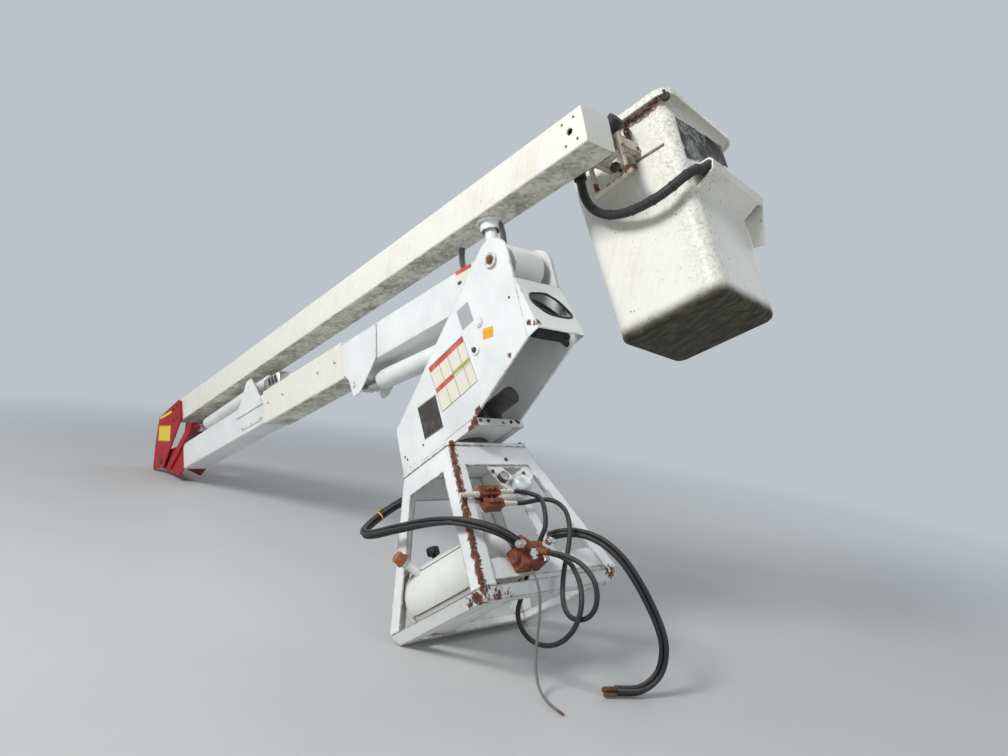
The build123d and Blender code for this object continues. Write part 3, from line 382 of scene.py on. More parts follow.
def rust_coat(name, dark, light, rough=0.85):
    """Bare iron that has rusted all over."""
    finish = Finish(name)
    grain = finish.noise(85, 8, 0.72)
    blotch = finish.noise(14, 5, 0.65, twist=0.5)
    base = finish.mix(dark, light, (grain * 0.6 + blotch * 0.6).above(0.42, 0.78))
    # painted shade: near-black in the corners, from ambient occlusion
    base = finish.mix(base, (0.03, 0.02, 0.016), finish.crevices(0.02) * 0.8)
    return finish.set(Base_Color=base, Roughness=rough - blotch * 0.15,
                      Normal=finish.bumps(grain + blotch * 0.6, 0.7, 0.0015))


def dull_rubber(name, base_colour, dust=0.35):
    """Old rubber with dust on top and small cracks."""
    finish = Finish(name)
    grain = finish.noise(120, 6, 0.7)
    top = finish.normal.part(2).above(0.1, 1.0)
    cloud = finish.noise(17, 5, 0.6)
    base = finish.mix(base_colour, (0.14, 0.125, 0.10), (top * 0.5 + cloud).above(0.55, 1.15) * dust)
    return finish.set(Base_Color=base, Roughness=0.46 + cloud * 0.25,
                      Normal=finish.bumps(grain * 0.3 + cloud * 0.4, 0.4, 0.0012))


def oily_casting(name):
    finish = Finish(name)
    grain = finish.noise(140, 5, 0.7)
    oil = finish.noise(11, 4, 0.6)
    base = finish.mix((0.05, 0.05, 0.05), (0.16, 0.14, 0.12), (grain * 0.5 + oil * 0.7).above(0.5, 0.85))
    base = finish.mix(base, (0.15, 0.06, 0.03), finish.noise(24, 6, 0.7).above(0.58, 0.66))
    return finish.set(Base_Color=base, Roughness=0.42 + oil * 0.35, Metallic=0.3,
                      Normal=finish.bumps(grain, 0.6, 0.001))


def bright_metal(name, tint, rust):
    """Plated steel gone dull, with rust freckles."""
    finish = Finish(name)
    freckles = finish.noise(65, 6, 0.7) * 0.6 + finish.noise(12, 4) * 0.6
    freckles = freckles.above(0.80 - rust * 0.2, 0.9 - rust * 0.2)
    base = finish.mix(tint, (0.20, 0.085, 0.04), freckles)
    return finish.set(Base_Color=base, Metallic=0.95 - freckles * 0.8, Roughness=0.24 + freckles * 0.5,
                      Normal=finish.bumps(finish.noise(180, 3), 0.15, 0.0005))


def printed(name, tint, fade=0.35):
    """Flat colour of a blank sign or sticker, sun-bleached and scratched."""
    finish = Finish(name)
    cloud = finish.noise(20, 6, 0.7)
    scratch = finish.noise(1, 6, 0.7, finish.stretched(60, 60, 210), 0.6).above(0.62, 0.7)
    pale = [0.5 + 0.5 * c for c in tint]
    base = finish.mix(tint, pale, cloud.above(0.4, 0.75) * fade)
    base = finish.mix(base, (0.62, 0.60, 0.54), scratch * 0.45)
    return finish.set(Base_Color=base, Roughness=0.5 + cloud * 0.2)


def scuffed_film(name):
    """Black film on the bucket's front, creased, with pale curling scratches."""
    finish = Finish(name)
    scratches = []
    for scale, width in ((9, 0.016), (21, 0.02), (38, 0.03)):
        cloud = finish.noise(1, 3, 0.6, finish.stretched(scale, scale, 0.6 * scale, BUCKET), 2.2)
        scratches.append(cloud.close_to(0.5, width))
    pale = scratches[0].most(scratches[1]).most(scratches[2] * 0.7) * finish.noise(7, 5).above(0.42, 0.56)
    base = finish.mix((0.012, 0.013, 0.015), (0.46, 0.46, 0.44), pale)
    return finish.set(Base_Color=base, Roughness=0.6 + pale * 0.2, Specular_IOR_Level=0.12,
                      Normal=finish.bumps(finish.noise(24, 5, twist=1.5), 0.6, 0.003))


def clear_bowl(name):
    finish = Finish(name)
    smear = finish.noise(28, 5, 0.7)
    base = finish.mix((0.62, 0.66, 0.66), (0.20, 0.19, 0.16), smear.above(0.5, 0.8))
    return finish.set(Base_Color=base, Roughness=0.10 + smear * 0.3, Coat_Weight=0.6)


# Where the paint has rusted through: a spot's working frame, place and reach, or a seam's two ends
# in the machine frame and its reach
RUSTY_ON_TURRET = [
    (MACHINE, 300, -SIDE_PLATE, 775, 0.075), (MACHINE, 345, -SIDE_PLATE, 812, 0.06),
    (MACHINE, 270, -SIDE_PLATE, 757, 0.06), (MACHINE, 640, -SIDE_PLATE, 940, 0.035),
    (MACHINE, 812, -SIDE_PLATE, 1010, 0.05), (MACHINE, 840, -140, 985, 0.05),
    (MACHINE, 312, 20, 775, 0.03), (MACHINE, 312, 120, 790, 0.03)]
RUSTY_ON_PEDESTAL = [
    (MACHINE, 350, -430, -30, 0.11), (MACHINE, 290, -430, -40, 0.11), (MACHINE, 230, -430, -45, 0.08),
    (MACHINE, 350, -350, -45, 0.10), (MACHINE, 350, -280, -45, 0.07), (MACHINE, 350, 380, -20, 0.10),
    ((194, -237, 690), (336, -413, 60), 0.055)]
RUSTY_ON_HANGER = [((1191, 165, 1553), (1413, 165, 1509), 0.07), (MACHINE, 1413, 165, 1509, 0.07),
                   (MACHINE, 1191, 165, 1553, 0.06)]


def make_finishes():
    """Every finish by name."""
    colours = bpy.context.scene.lift_colours
    white = colours.white
    wear = bpy.context.scene.lift_sizes.edge_wear
    table = {  # name: what makes it and what it is given
        "turret_paint": (weathered_paint, white, 0.26, wear, 0.4, 0.0, RUSTY_ON_TURRET, 0.15),
        "boom_paint": (weathered_paint, white, 0.26, wear, 0.45),
        "pedestal_paint": (weathered_paint, white, 0.33, 1.6 * wear, 0.5, 0.03, RUSTY_ON_PEDESTAL, 0.7),
        "tank_paint": (weathered_paint, (0.80, 0.80, 0.74), 0.2, wear, 0.5),
        "red_paint": (weathered_paint, colours.red, 0.26, wear, 0.2, 0.0, (), 0.0, 0.2),
        "hanger_paint": (weathered_paint, (0.58, 0.54, 0.44), 0.42, 1.4 * wear, 0.7, 0.05,
                         RUSTY_ON_HANGER, 0.8),
        "tie_yellow": (printed, (0.75, 0.52, 0.01), 0.1),
        "boom_gelcoat": (gelcoat, colours.cream, 0.85),
        "bucket_gelcoat": (gelcoat, (0.82, 0.805, 0.74), 0.72, 46, bucket_soil),
        "rust": (rust_coat, (0.06, 0.03, 0.02), (0.21, 0.09, 0.042)),
        "red_rust": (rust_coat, (0.11, 0.027, 0.015), (0.30, 0.085, 0.036)),
        "orange_rust": (rust_coat, (0.17, 0.055, 0.022), (0.42, 0.17, 0.06)),
        "rubber": (dull_rubber, colours.rubber),
        "sheath_rubber": (dull_rubber, (0.02, 0.02, 0.021), 0.55),
        "grey_rubber": (dull_rubber, (0.17, 0.17, 0.165), 0.3),
        "casting": (oily_casting,),
        "rod": (bright_metal, (0.60, 0.60, 0.60), 0.35),
        "plated": (bright_metal, (0.66, 0.65, 0.62), 0.4),
        "cream_tube": (weathered_paint, (0.70, 0.66, 0.53), 0.35, 2 * MM, 0.5, 0.02),
        "bowl": (clear_bowl,),
        "sign_cream": (printed, (0.74, 0.70, 0.58), 0.2),
        "sign_red": (printed, colours.sign_red),
        "sign_olive": (printed, (0.38, 0.35, 0.08)),
        "sign_black": (printed, (0.035, 0.028, 0.022), 0.12),
        "sign_grey": (printed, (0.36, 0.37, 0.38), 0.15),
        "sign_orange": (printed, (0.80, 0.34, 0.02), 0.1),
        "sign_yellow": (printed, colours.sign_yellow, 0.15),
        "film": (scuffed_film,),
        "moss_edge": (rust_coat, (0.10, 0.10, 0.06), (0.34, 0.33, 0.24), 0.9),
        "beige": (weathered_paint, (0.62, 0.55, 0.40), 0.4, 2 * MM, 0.7, 0.04),
        "dial": (printed, (0.46, 0.45, 0.36), 0.3),
        "webbing": (dull_rubber, (0.10, 0.105, 0.11), 0.4),
    }
    return {name: make(name, *given) for name, (make, *given) in table.items()}


FINISHES = {}
NODE_FINISHES = {
    "turret_paint": ["turret_base", "turret_side_near", "turret_side_far", "turret_back", "hood", "lift_pin",
                     "boom_pin"],
    "boom_paint": ["lower_boom_root", "lower_boom_elbow_section", "trunnion_ears", "rest_post", "rest_cup",
                   "lift_barrel", "fold_barrel"],
    "pedestal_paint": ["base_ring", "pedestal_frame", "top_plate", "valve_bracket", "reservoir_saddles",
                       "filler_neck"],
    "tank_paint": ["reservoir"],
    "red_paint": ["elbow_lower_plates", "elbow_upper_plates", "elbow_links"],
    "boom_gelcoat": ["lower_boom_insert", "upper_boom", "boom_sleeve"],
    "bucket_gelcoat": ["bucket", "console_cover"],
    "rust": ["elbow_pin", "levelling_shaft", "hose_couplings", "drain_nipple"],
    "hanger_paint": ["bucket_hanger"],
    "red_rust": ["control_valve", "swivel_valve"],
    "orange_rust": ["filler_cap"],
    "rubber": ["breather", "bundle_gland", "sheath_boot"],
    "casting": ["slew_ring", "slew_race", "rotation_gearbox", "gauge"],
    "rod": ["lift_rod", "fold_rod"],
    "cream_tube": ["feed_tube", "upper_tube", "lower_tube"],
    "bowl": ["filter_bowl"],
}


def wear_finish(piece, finish):
    piece.data.materials.clear()
    piece.data.materials.append(FINISHES[finish])


def begin(kind, **sizes):
    """A Blender primitive at the origin, alone in the selection."""
    bpy.ops.object.select_all(action="DESELECT")
    getattr(bpy.ops.mesh, f"primitive_{kind}_add")(**sizes)
    return bpy.context.object


def edit(piece, choose):
    """Edit mode with the chosen faces selected."""
    bpy.ops.object.mode_set(mode="EDIT")
    bpy.ops.mesh.select_mode(type="FACE")
    bpy.ops.mesh.select_all(action="DESELECT")
    bpy.ops.object.mode_set(mode="OBJECT")
    for face in piece.data.polygons:
        face.select = choose(face)
    bpy.ops.object.mode_set(mode="EDIT")


def leave():
    bpy.ops.object.mode_set(mode="OBJECT")


def still(piece):
    """The active piece with its place, turn and scale in its mesh."""
    bpy.ops.object.transform_apply(location=True, rotation=True, scale=True)
    return piece


def looks_up(face):
    return face.normal.z > 0.9


def box_piece(x, y, z, bevel, segments=2):
    """Block with bevelled edges, centred on its place."""
    piece = begin("cube", size=1)
    piece.scale = (x, y, z)
    edit(still(piece), lambda face: True)
    bpy.ops.mesh.bevel(offset=bevel, segments=segments, affect="EDGES")
    leave()
    return piece


def disc(r, height, bevel, vertices=32):
    """Round plate that stands on its place."""
    piece = still(begin("cylinder", vertices=vertices, radius=r, depth=height, location=(0, 0, height / 2)))
    edit(piece, looks_up)
    bpy.ops.mesh.bevel(offset=bevel, segments=2, affect="EDGES")
    leave()
    return piece


def pick(*pieces):
    """Selects the pieces alone, the first of them active."""
    bpy.ops.object.select_all(action="DESELECT")
    for piece in pieces:
        piece.select_set(True)
    bpy.context.view_layer.objects.active = pieces[0]


def join(pieces):
    pick(*pieces)
    if len(pieces) > 1:
        bpy.ops.object.join()
    return bpy.context.view_layer.objects.active


def as_mesh(curve):
    pick(curve)
    bpy.ops.object.convert(target="MESH")
    return bpy.context.object


def hexagon(r, height):
    """Hexagon head on a washer, with its corners turned off."""
    washer = disc(1.3 * r, 0.22 * r, 0.06 * r, 20)
    head = still(begin("cylinder", vertices=6, radius=1.08 * r, depth=height,
                       location=(0, 0, 0.2 * r + height / 2)))
    edit(head, looks_up)
    bpy.ops.mesh.inset(thickness=0.16 * r, depth=0.1 * r)
    leave()
    return join([washer, head])


def fitting(r, length):
    """Hose fitting: a hexagon between a ribbed ferrule and a threaded neck."""
    made = [disc(0.78 * r, length, 0.06 * r, 24),
            begin("cylinder", vertices=6, radius=1.25 * r, depth=0.34 * length,
                  location=(0, 0, 0.45 * length))]
    for share in (0.08, 0.18, 0.74, 0.84, 0.94):
        made.append(begin("torus", major_radius=0.8 * r, minor_radius=0.13 * r, major_segments=24,
                          minor_segments=6, location=(0, 0, share * length)))
    return still(join(made))


def moved(piece, place):
    piece.data.transform(place)
    return piece


def ring(r, thick, flat=1.0):
    """Round bead, flattened if wanted."""
    piece = begin("torus", major_radius=r, minor_radius=thick, major_segments=40, minor_segments=8)
    piece.scale = (1, 1, flat)
    return still(piece)


def chain_piece(length, thick):
    """One link of a chain, long along X."""
    piece = begin("torus", major_radius=length / 3, minor_radius=thick, major_segments=20, minor_segments=8)
    piece.scale = (1.35, 0.9, 1)
    return still(piece)


def thicken(sheet, thickness):
    solid = sheet.modifiers.new("thickness", "SOLIDIFY")
    solid.thickness = thickness
    solid.offset = 0
    bpy.ops.object.modifier_apply(modifier="thickness")
    return sheet


def cut_sheet(outline, thickness, ragged, step=0.025):
    """Thin sheet with a torn edge, cut to an outline in its own plane."""
    corners = [Vector(corner) * MM for corner in outline]
    line = []
    for start, end in zip(corners, corners[1:] + corners[:1]):
        count = max(1, round((end - start).length / step))
        line += [start.lerp(end, k / count) for k in range(count)]
    chance = random.Random(7)
    piece = begin("circle", vertices=len(line), radius=1, fill_type="NGON")
    for vertex, place in zip(piece.data.vertices, line):
        vertex.co = (place.x + chance.uniform(-ragged, ragged), place.y + chance.uniform(-ragged, ragged), 0)
    return thicken(piece, thickness)


def pipe(points, r, closed=False):
    """Bent tube along a smooth curve through points in millimetres, as a mesh."""
    curve = centre_line("pipe", [Vector(point) * MM for point in points], r)
    curve.data.splines[0].use_endpoint_u = not closed
    curve.data.splines[0].use_cyclic_u = closed
    return as_mesh(curve)


def copies(source, places):
    """The source once at each place, with its own mesh each time, joined."""
    made = []
    for place in places:
        piece = source.copy()
        piece.data = source.data.copy()
        piece.data.transform(place)
        bpy.context.collection.objects.link(piece)
        made.append(piece)
    bpy.data.objects.remove(source)
    return join(made)


def settle(piece, name, body, finish, smooth=35):
    """Names a finished piece, gives it its finish, and lets it ride on a body."""
    piece.name = name
    piece.data.name = name
    if finish:
        wear_finish(piece, finish)
    pick(piece)
    bpy.ops.object.transform_apply(location=True, rotation=True, scale=True)
    bpy.ops.object.shade_smooth_by_angle(angle=math.radians(smooth))
    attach(piece, body)
    return piece


def route(*points):
    """The way of a hose in the row frame, from its points in the machine frame, in millimetres."""
    return [tuple(round(c, 5) for c in at(MACHINE, *point).to_translation()) for point in points]


TIP_SHEATH = route(
    (1115, 222, 1706), (1103, 222, 1654), (1098, 222, 1597), (1108, 222, 1537), (1140, 222, 1475),
    (1190, 222, 1424), (1250, 222, 1386), (1315, 222, 1360), (1381, 224, 1342), (1440, 230, 1334),
    (1494, 241, 1337), (1542, 261, 1350), (1580, 293, 1370), (1603, 337, 1390), (1611, 386, 1403),
    (1607.1, 430.9, 1403.9), (1601.2, 490.6, 1401.8))
SUPPLY_BUNDLE = route(
    (-234, -100, 650), (-292, -102, 664), (-354, -110, 674), (-415, -132, 676), (-468, -170, 662),
    (-502, -222, 636), (-512, -280, 602), (-494, -334, 566), (-452, -374, 532), (-394, -396, 504),
    (-324, -408, 480), (-246, -412, 460), (-165, -413, 441), (-85, -410, 420), (-5, -408, 401),
    (75, -404, 379), (140, -401, 359), (202, -399, 336), (262, -396, 312), (322, -384, 280),
    (370, -356, 246), (400, -314, 212), (408, -265, 180), (398, -216, 152))
HOSE_LOOP_A = route(
    (273, -20, 434), (273, 10, 434), (283, 40, 425), (301, 61, 409), (324, 71, 389), (349, 66, 366),
    (370, 48, 336), (384, 30, 298), (388, 14, 254), (378, 4, 214), (350, -6, 184), (306, -16, 145),
    (256, -25, 94), (206, -38, 38), (168, -60, -26), (146, -94, -88), (158, -110, -154), (200, -124, -214),
    (266, -132, -258), (346, -138, -281), (430, -138, -276), (498, -128, -240), (538, -110, -178),
    (544, -84, -104), (524, -64, -34), (496, -50, 16), (464, -52, 50), (438, -60, 71), (416, -77, 86))
HOSE_LOOP_B = route(
    (286, -35, 370), (285, -5, 370), (286, 26, 371), (292, 58, 373), (309, 86, 372), (336, 105, 364),
    (370, 114, 345), (404, 113, 314), (434, 104, 276), (453, 88, 228), (460, 65, 172), (445, 40, 101),
    (419, 12, 38), (396, -10, -24), (384, -30, -84), (388, -52, -138), (414, -72, -186), (466, -90, -218),
    (530, -102, -232), (590, -108, -218), (632, -112, -176), (646, -112, -120), (632, -112, -66),
    (602, -114, -18), (560, -118, 20), (516, -124, 50), (474, -130, 72))
LONG_HOSES = route(
    (315, 76, 190), (359, 97, 186), (403, 125, 171), (447, 146, 146), (492, 160, 111), (531, 172, 68),
    (559, 186, 17), (577, 203, -36), (587, 217, -95), (589, 236, -156), (583, 259, -218), (575, 280, -283),
    (566, 295, -347), (545, 306, -415), (499, 305, -482), (465, 286, -516), (431, 252, -537),
    (403, 209, -541), (384, 162, -528), (366, 115, -514))
DRAIN_HOSE = route(
    (381, -165, 34), (387, -165, 1), (391, -165, -36), (380, -166, -85), (358, -167, -136),
    (327, -169, -187), (294, -171, -240), (266, -175, -293), (246, -181, -348), (242, -189, -402),
    (260, -199, -449), (298, -209, -489), (342, -217, -520))


def new_curve(name, r, resolution):
    """Empty curve that will be a tube of this radius."""
    curve = bpy.data.objects.new(name, bpy.data.curves.new(name, "CURVE"))
    curve.data.dimensions = "3D"
    curve.data.bevel_depth = r
    curve.data.bevel_resolution = resolution
    curve.data.use_fill_caps = True
    bpy.context.collection.objects.link(curve)
    return curve


def centre_line(name, points, r=0.0):
    """Smooth curve with the route's points as its control points."""
    curve = new_curve(name, r, 5)
    spline = curve.data.splines.new("NURBS")
    spline.points.add(len(points) - 1)
    for point, place in zip(spline.points, points):
        point.co = (*place, 1)
    spline.order_u = 3
    spline.use_endpoint_u = True
    spline.resolution_u = 10
    return curve


def read_line(points):
    """Points along the smooth curve of a route, as Blender draws it."""
    curve = centre_line("line", points)
    mesh = bpy.data.meshes.new_from_object(curve)
    line = [vertex.co.copy() for vertex in mesh.vertices]
    bpy.data.meshes.remove(mesh)
    bpy.data.objects.remove(curve)
    return line


def steady_frames(line):
    """Two directions across the line at each of its points, without twist."""
    frames = []
    across = None
    for index, point in enumerate(line):
        ahead = (line[min(index + 1, len(line) - 1)] - line[max(index - 1, 0)]).normalized()
        if across is None:
            across = ahead.orthogonal().normalized()
        across = (across - across.dot(ahead) * ahead).normalized()
        frames.append((across, ahead.cross(across)))
    return frames


def strands(name, points, offset, thickness, phases, twist):
    """Tubes that lie side by side round a route, each turning about it a little."""
    line = read_line(points)
    sides = steady_frames(line)
    bundle = new_curve(name, thickness / 2, 3)
    for phase in phases:
        spline = bundle.data.splines.new("POLY")
        spline.points.add(len(line) - 1)
        for index, (place, (side, other)) in enumerate(zip(line, sides)):
            angle = phase + twist * index / len(line)
            spread = offset * (side * math.cos(angle) + other * math.sin(angle))
            spline.points[index].co = (*(place + spread), 1)
    return as_mesh(bundle), line


def across_line(before, place, after):
    """A place on a line, with its own up along it."""
    return Matrix.Translation(place) @ (after - before).to_track_quat("Z", "X").to_matrix().to_4x4()


def spread_round(count, start=0.0):
    """Angles at equal steps round a circle."""
    return [start + 2 * math.pi * k / count for k in range(count)]


class LIFT_OT_finishes(bpy.types.Operator):
    """Gives every solid of the lift its weathered finish"""
    bl_idname = "lift.finishes"
    bl_label = "Finishes"

    def execute(self, context):
        FINISHES.update(make_finishes())
        for finish, nodes in NODE_FINISHES.items():
            for node in nodes:
                wear_finish(frame["nodes"][node], finish)
        return {"FINISHED"}


class LIFT_OT_single_hoses(bpy.types.Operator):
    """Makes the two black loops and the thin drain hose"""
    bl_idname = "lift.single_hoses"
    bl_label = "Single hoses"

    def execute(self, context):
        sizes = context.scene.lift_sizes
        table = [  # name, route, diameter, length, far end, finish, slot, pieces on it
            ("hose_loop_a", HOSE_LOOP_A, sizes.hose, 1.593, "object", "rubber", "black_rubber", ()),
            ("hose_loop_b", HOSE_LOOP_B, sizes.hose, 1.380, "object", "rubber", "black_rubber", ()),
            ("drain_hose", DRAIN_HOSE, sizes.drain, 0.632, "fitting", "grey_rubber", "grey_hose",
             ("drain_nipple",)),
        ]
        for node, route, diameter, length, end, finish, slot, others in table:
            hose = centre_line(node + "_smooth", route, diameter / 2)
            wear_finish(hose, finish)
            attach(hose, "pedestal")
            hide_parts(node)
        return {"FINISHED"}


class LIFT_OT_bundles(bpy.types.Operator):
    """Makes the supply bundle and the three long hoses from strands side by side"""
    bl_idname = "lift.bundles"
    bl_label = "Hose bundles"

    def execute(self, context):
        sizes = context.scene.lift_sizes
        table = [  # name, route, whole diameter, strand diameter, strands, twist, length, far end, others
            ("supply_bundle", SUPPLY_BUNDLE, sizes.bundle, 0.0185, 4, 2.2, 1.583, "object", ()),
            ("long_hoses", LONG_HOSES, sizes.long_bundle, 0.0215, 3, 1.6, 1.130, "connector",
             ("hose_couplings",)),
        ]
        tail = moved(box_piece(7 * MM, 3 * MM, 46 * MM, 1 * MM), at(Matrix(), 30, 0, -18))
        tie = moved(join([ring(24 * MM, 4.5 * MM), tail]), across_line(*map(Vector, SUPPLY_BUNDLE[4:7])))
        settle(tie, "bundle_tie", "pedestal", "tie_yellow")
        for node, route, whole, strand, count, twist, length, end, others in table:
            bundle, line = strands(node + "_strands", route, (whole - strand) / 2, strand,
                                   spread_round(count, 0.4), twist)
            settle(bundle, node + "_strands", "pedestal", "rubber", 80)
            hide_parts(node)
        return {"FINISHED"}


class LIFT_OT_sheath(bpy.types.Operator):
    """Makes the wrapped sheath from the boom's tip to the bucket's console"""
    bl_idname = "lift.sheath"
    bl_label = "Tip sheath"

    def execute(self, context):
        sizes = context.scene.lift_sizes
        line = read_line(TIP_SHEATH)
        tube = as_mesh(centre_line("tip_sheath_wrapped", TIP_SHEATH, sizes.sheath / 2 - 1.2 * MM))
        wraps = []
        for share in (0.30, 0.42, 0.53, 0.66, 0.76, 0.84, 0.91, 0.96):
            index = round(share * (len(line) - 2))
            wraps.append(across_line(line[index], line[index], line[index + 1]))
        bands = copies(ring(sizes.sheath / 2 - 2.2 * MM, 3.6 * MM, 2.4), wraps)
        settle(bands, "sheath_bands", "bucket", "rubber", 80)
        settle(tube, "tip_sheath_wrapped", "bucket", "sheath_rubber", 80)
        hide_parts("tip_sheath")
        return {"FINISHED"}


def sticker(base, x, y, z, turn, width, height, patches):
    """Thin blank sign on a near face: its own sheet, then bands and lines by their share of it."""
    made = []
    for finish, u0, u1, v0, v1, lift in patches:
        piece = box_piece((u1 - u0) * width, (v1 - v0) * height, 0.0006, 0.0002, 1)
        centre = Vector(((u0 + u1 - 1) / 2 * width, (v0 + v1 - 1) / 2 * height, lift * 0.0003))
        piece.data.transform(Matrix.Translation(centre))
        wear_finish(piece, finish)
        made.append(piece)
    return moved(join(made), at(base, x, y, z, turned(turn) @ OUT_NEAR))


class LIFT_OT_signs(bpy.types.Operator):
    """Makes the blank signs and stickers of the turret and the elbow"""
    bl_idname = "lift.signs"
    bl_label = "Blank signs"

    def execute(self, context):
        # Each patch is its finish, its left, right, lower and upper share of the sign, and its layer
        cream, grey, yellow = ((f"sign_{tint}", 0, 1, 0, 1, 0) for tint in ("cream", "grey", "yellow"))
        upright_rules = [("sign_black", u, u + 0.008, 0.0, 0.88, 2) for u in (0.27, 0.52, 0.80)]
        border = [("sign_black", 0, 1, 0, 0.01, 2), ("sign_black", 0, 1, 0.99, 1, 3),
                  ("sign_black", 0, 0.006, 0, 1, 2), ("sign_black", 0.994, 1, 0, 1, 2)]
        bands = [("sign_red", 0.006, 0.994, 0.88, 0.99, 2), ("sign_red", 0.006, 0.52, 0.42, 0.51, 3),
                 ("sign_olive", 0.528, 0.994, 0.45, 0.53, 3), ("sign_black", 0.006, 0.994, 0.41, 0.416, 2)]
        dark = [("sign_black", 0, 1, 0, 1, 0), ("sign_grey", 0.02, 0.98, 0.02, 0.03, 2),
                ("sign_grey", 0.02, 0.98, 0.97, 0.98, 2)]
        orange = [("sign_orange", 0, 1, 0, 1, 0), ("sign_yellow", 0.06, 0.94, 0.78, 0.84, 2)]
        ruled = [yellow, ("sign_black", 0.02, 0.98, 0.03, 0.05, 2), ("sign_black", 0.02, 0.98, 0.95, 0.97, 2)]
        topped = [cream, ("sign_red", 0, 1, 0.76, 1, 2), ("sign_black", 0.05, 0.3, 0.1, 0.3, 2)]
        turret, elbow, boom = (-side - 0.4 for side in (SIDE_PLATE, ELBOW_SIDE, BOOM_SIDE))
        table = [  # name, frame, place, turn, width, height, patches, body, slot
            ("turret_sign", MACHINE, (251, turret, 1066), -2, 0.293, 0.259,
             [cream] + upright_rules + border + bands, "turret", "white_paint"),
            ("turret_plate_dark", MACHINE, (9, turret, 954), 3, 0.158, 0.180, dark, "turret", "white_paint"),
            ("turret_plate_grey", MACHINE, (452, turret, 1278), 0, 0.092, 0.109, [grey], "turret",
             "white_paint"),
            ("turret_sticker_orange", MACHINE, (560, turret, 1113), 20, 0.072, 0.052, orange, "turret",
             "white_paint"),
            ("elbow_plate_yellow", BOOM, (-4305, elbow, 268), 15, 0.275, 0.135, ruled, "upper_boom",
             "red_paint"),
            ("elbow_strip_yellow", BOOM, (-4262, elbow, 421), 3, 0.27, 0.022, [yellow], "upper_boom",
             "red_paint"),
            ("lower_boom_sticker", BOOM, (-266, boom, 46), 2, 0.122, 0.084, topped, "lower_boom",
             "white_paint"),
        ]
        for name, base, place, turn, width, height, patches, body, slot in table:
            settle(sticker(base, *place, turn, width, height, patches), name, body, None)
        return {"FINISHED"}


class LIFT_OT_bolts(bpy.types.Operator):
    """Makes the bolt heads of the booms, turret, elbow and pedestal"""
    bl_idname = "lift.bolts"
    bl_label = "Bolts"

    def execute(self, context):
        r = context.scene.lift_sizes.bolt
        slew = [at(MACHINE, 112 * math.cos(a), 112 * math.sin(a), 797) for a in spread_round(12)]
        insert = [place for x in (-2411, -2205, -1734, -1526)
                  for place in both_sides(BOOM, x, BOOM_SIDE + 2, 2)]
        lip = [at(MACHINE, 312, y, 781, OUT_FRONT) for y in (-125, -75, 75, 125)]
        elbow = [place for x, z in ((-4010, 330), (-4010, 440), (-4085, 330), (-4085, 425))
                 for place in both_sides(BOOM, x, ELBOW_SIDE, z)]
        foot = [at(MACHINE, x, y, 724) for x in (-184.14, 184.14) for y in (-225, 0, 225)]
        table = [  # name, places, half width, height, body, finish, slot
            ("slewing_bolts", slew, r, 0.7 * r, "turret", "rust", "rusty_steel"),
            ("insert_bolts", insert, 0.9 * r, 0.5 * r, "lower_boom", "plated", "rusty_steel"),
            ("turret_lip_bolts", lip, 0.7 * r, 0.5 * r, "turret", "rust", "rusty_steel"),
            ("elbow_bolts", elbow, r, 0.7 * r, "upper_boom", "rust", "rusty_steel"),
            ("pedestal_top_bolts", foot, r, 0.7 * r, "pedestal", "rust", "rusty_steel"),
        ]
        for name, places, half, height, body, finish, slot in table:
            settle(copies(hexagon(half, height), places), name, body, finish)
        return {"FINISHED"}


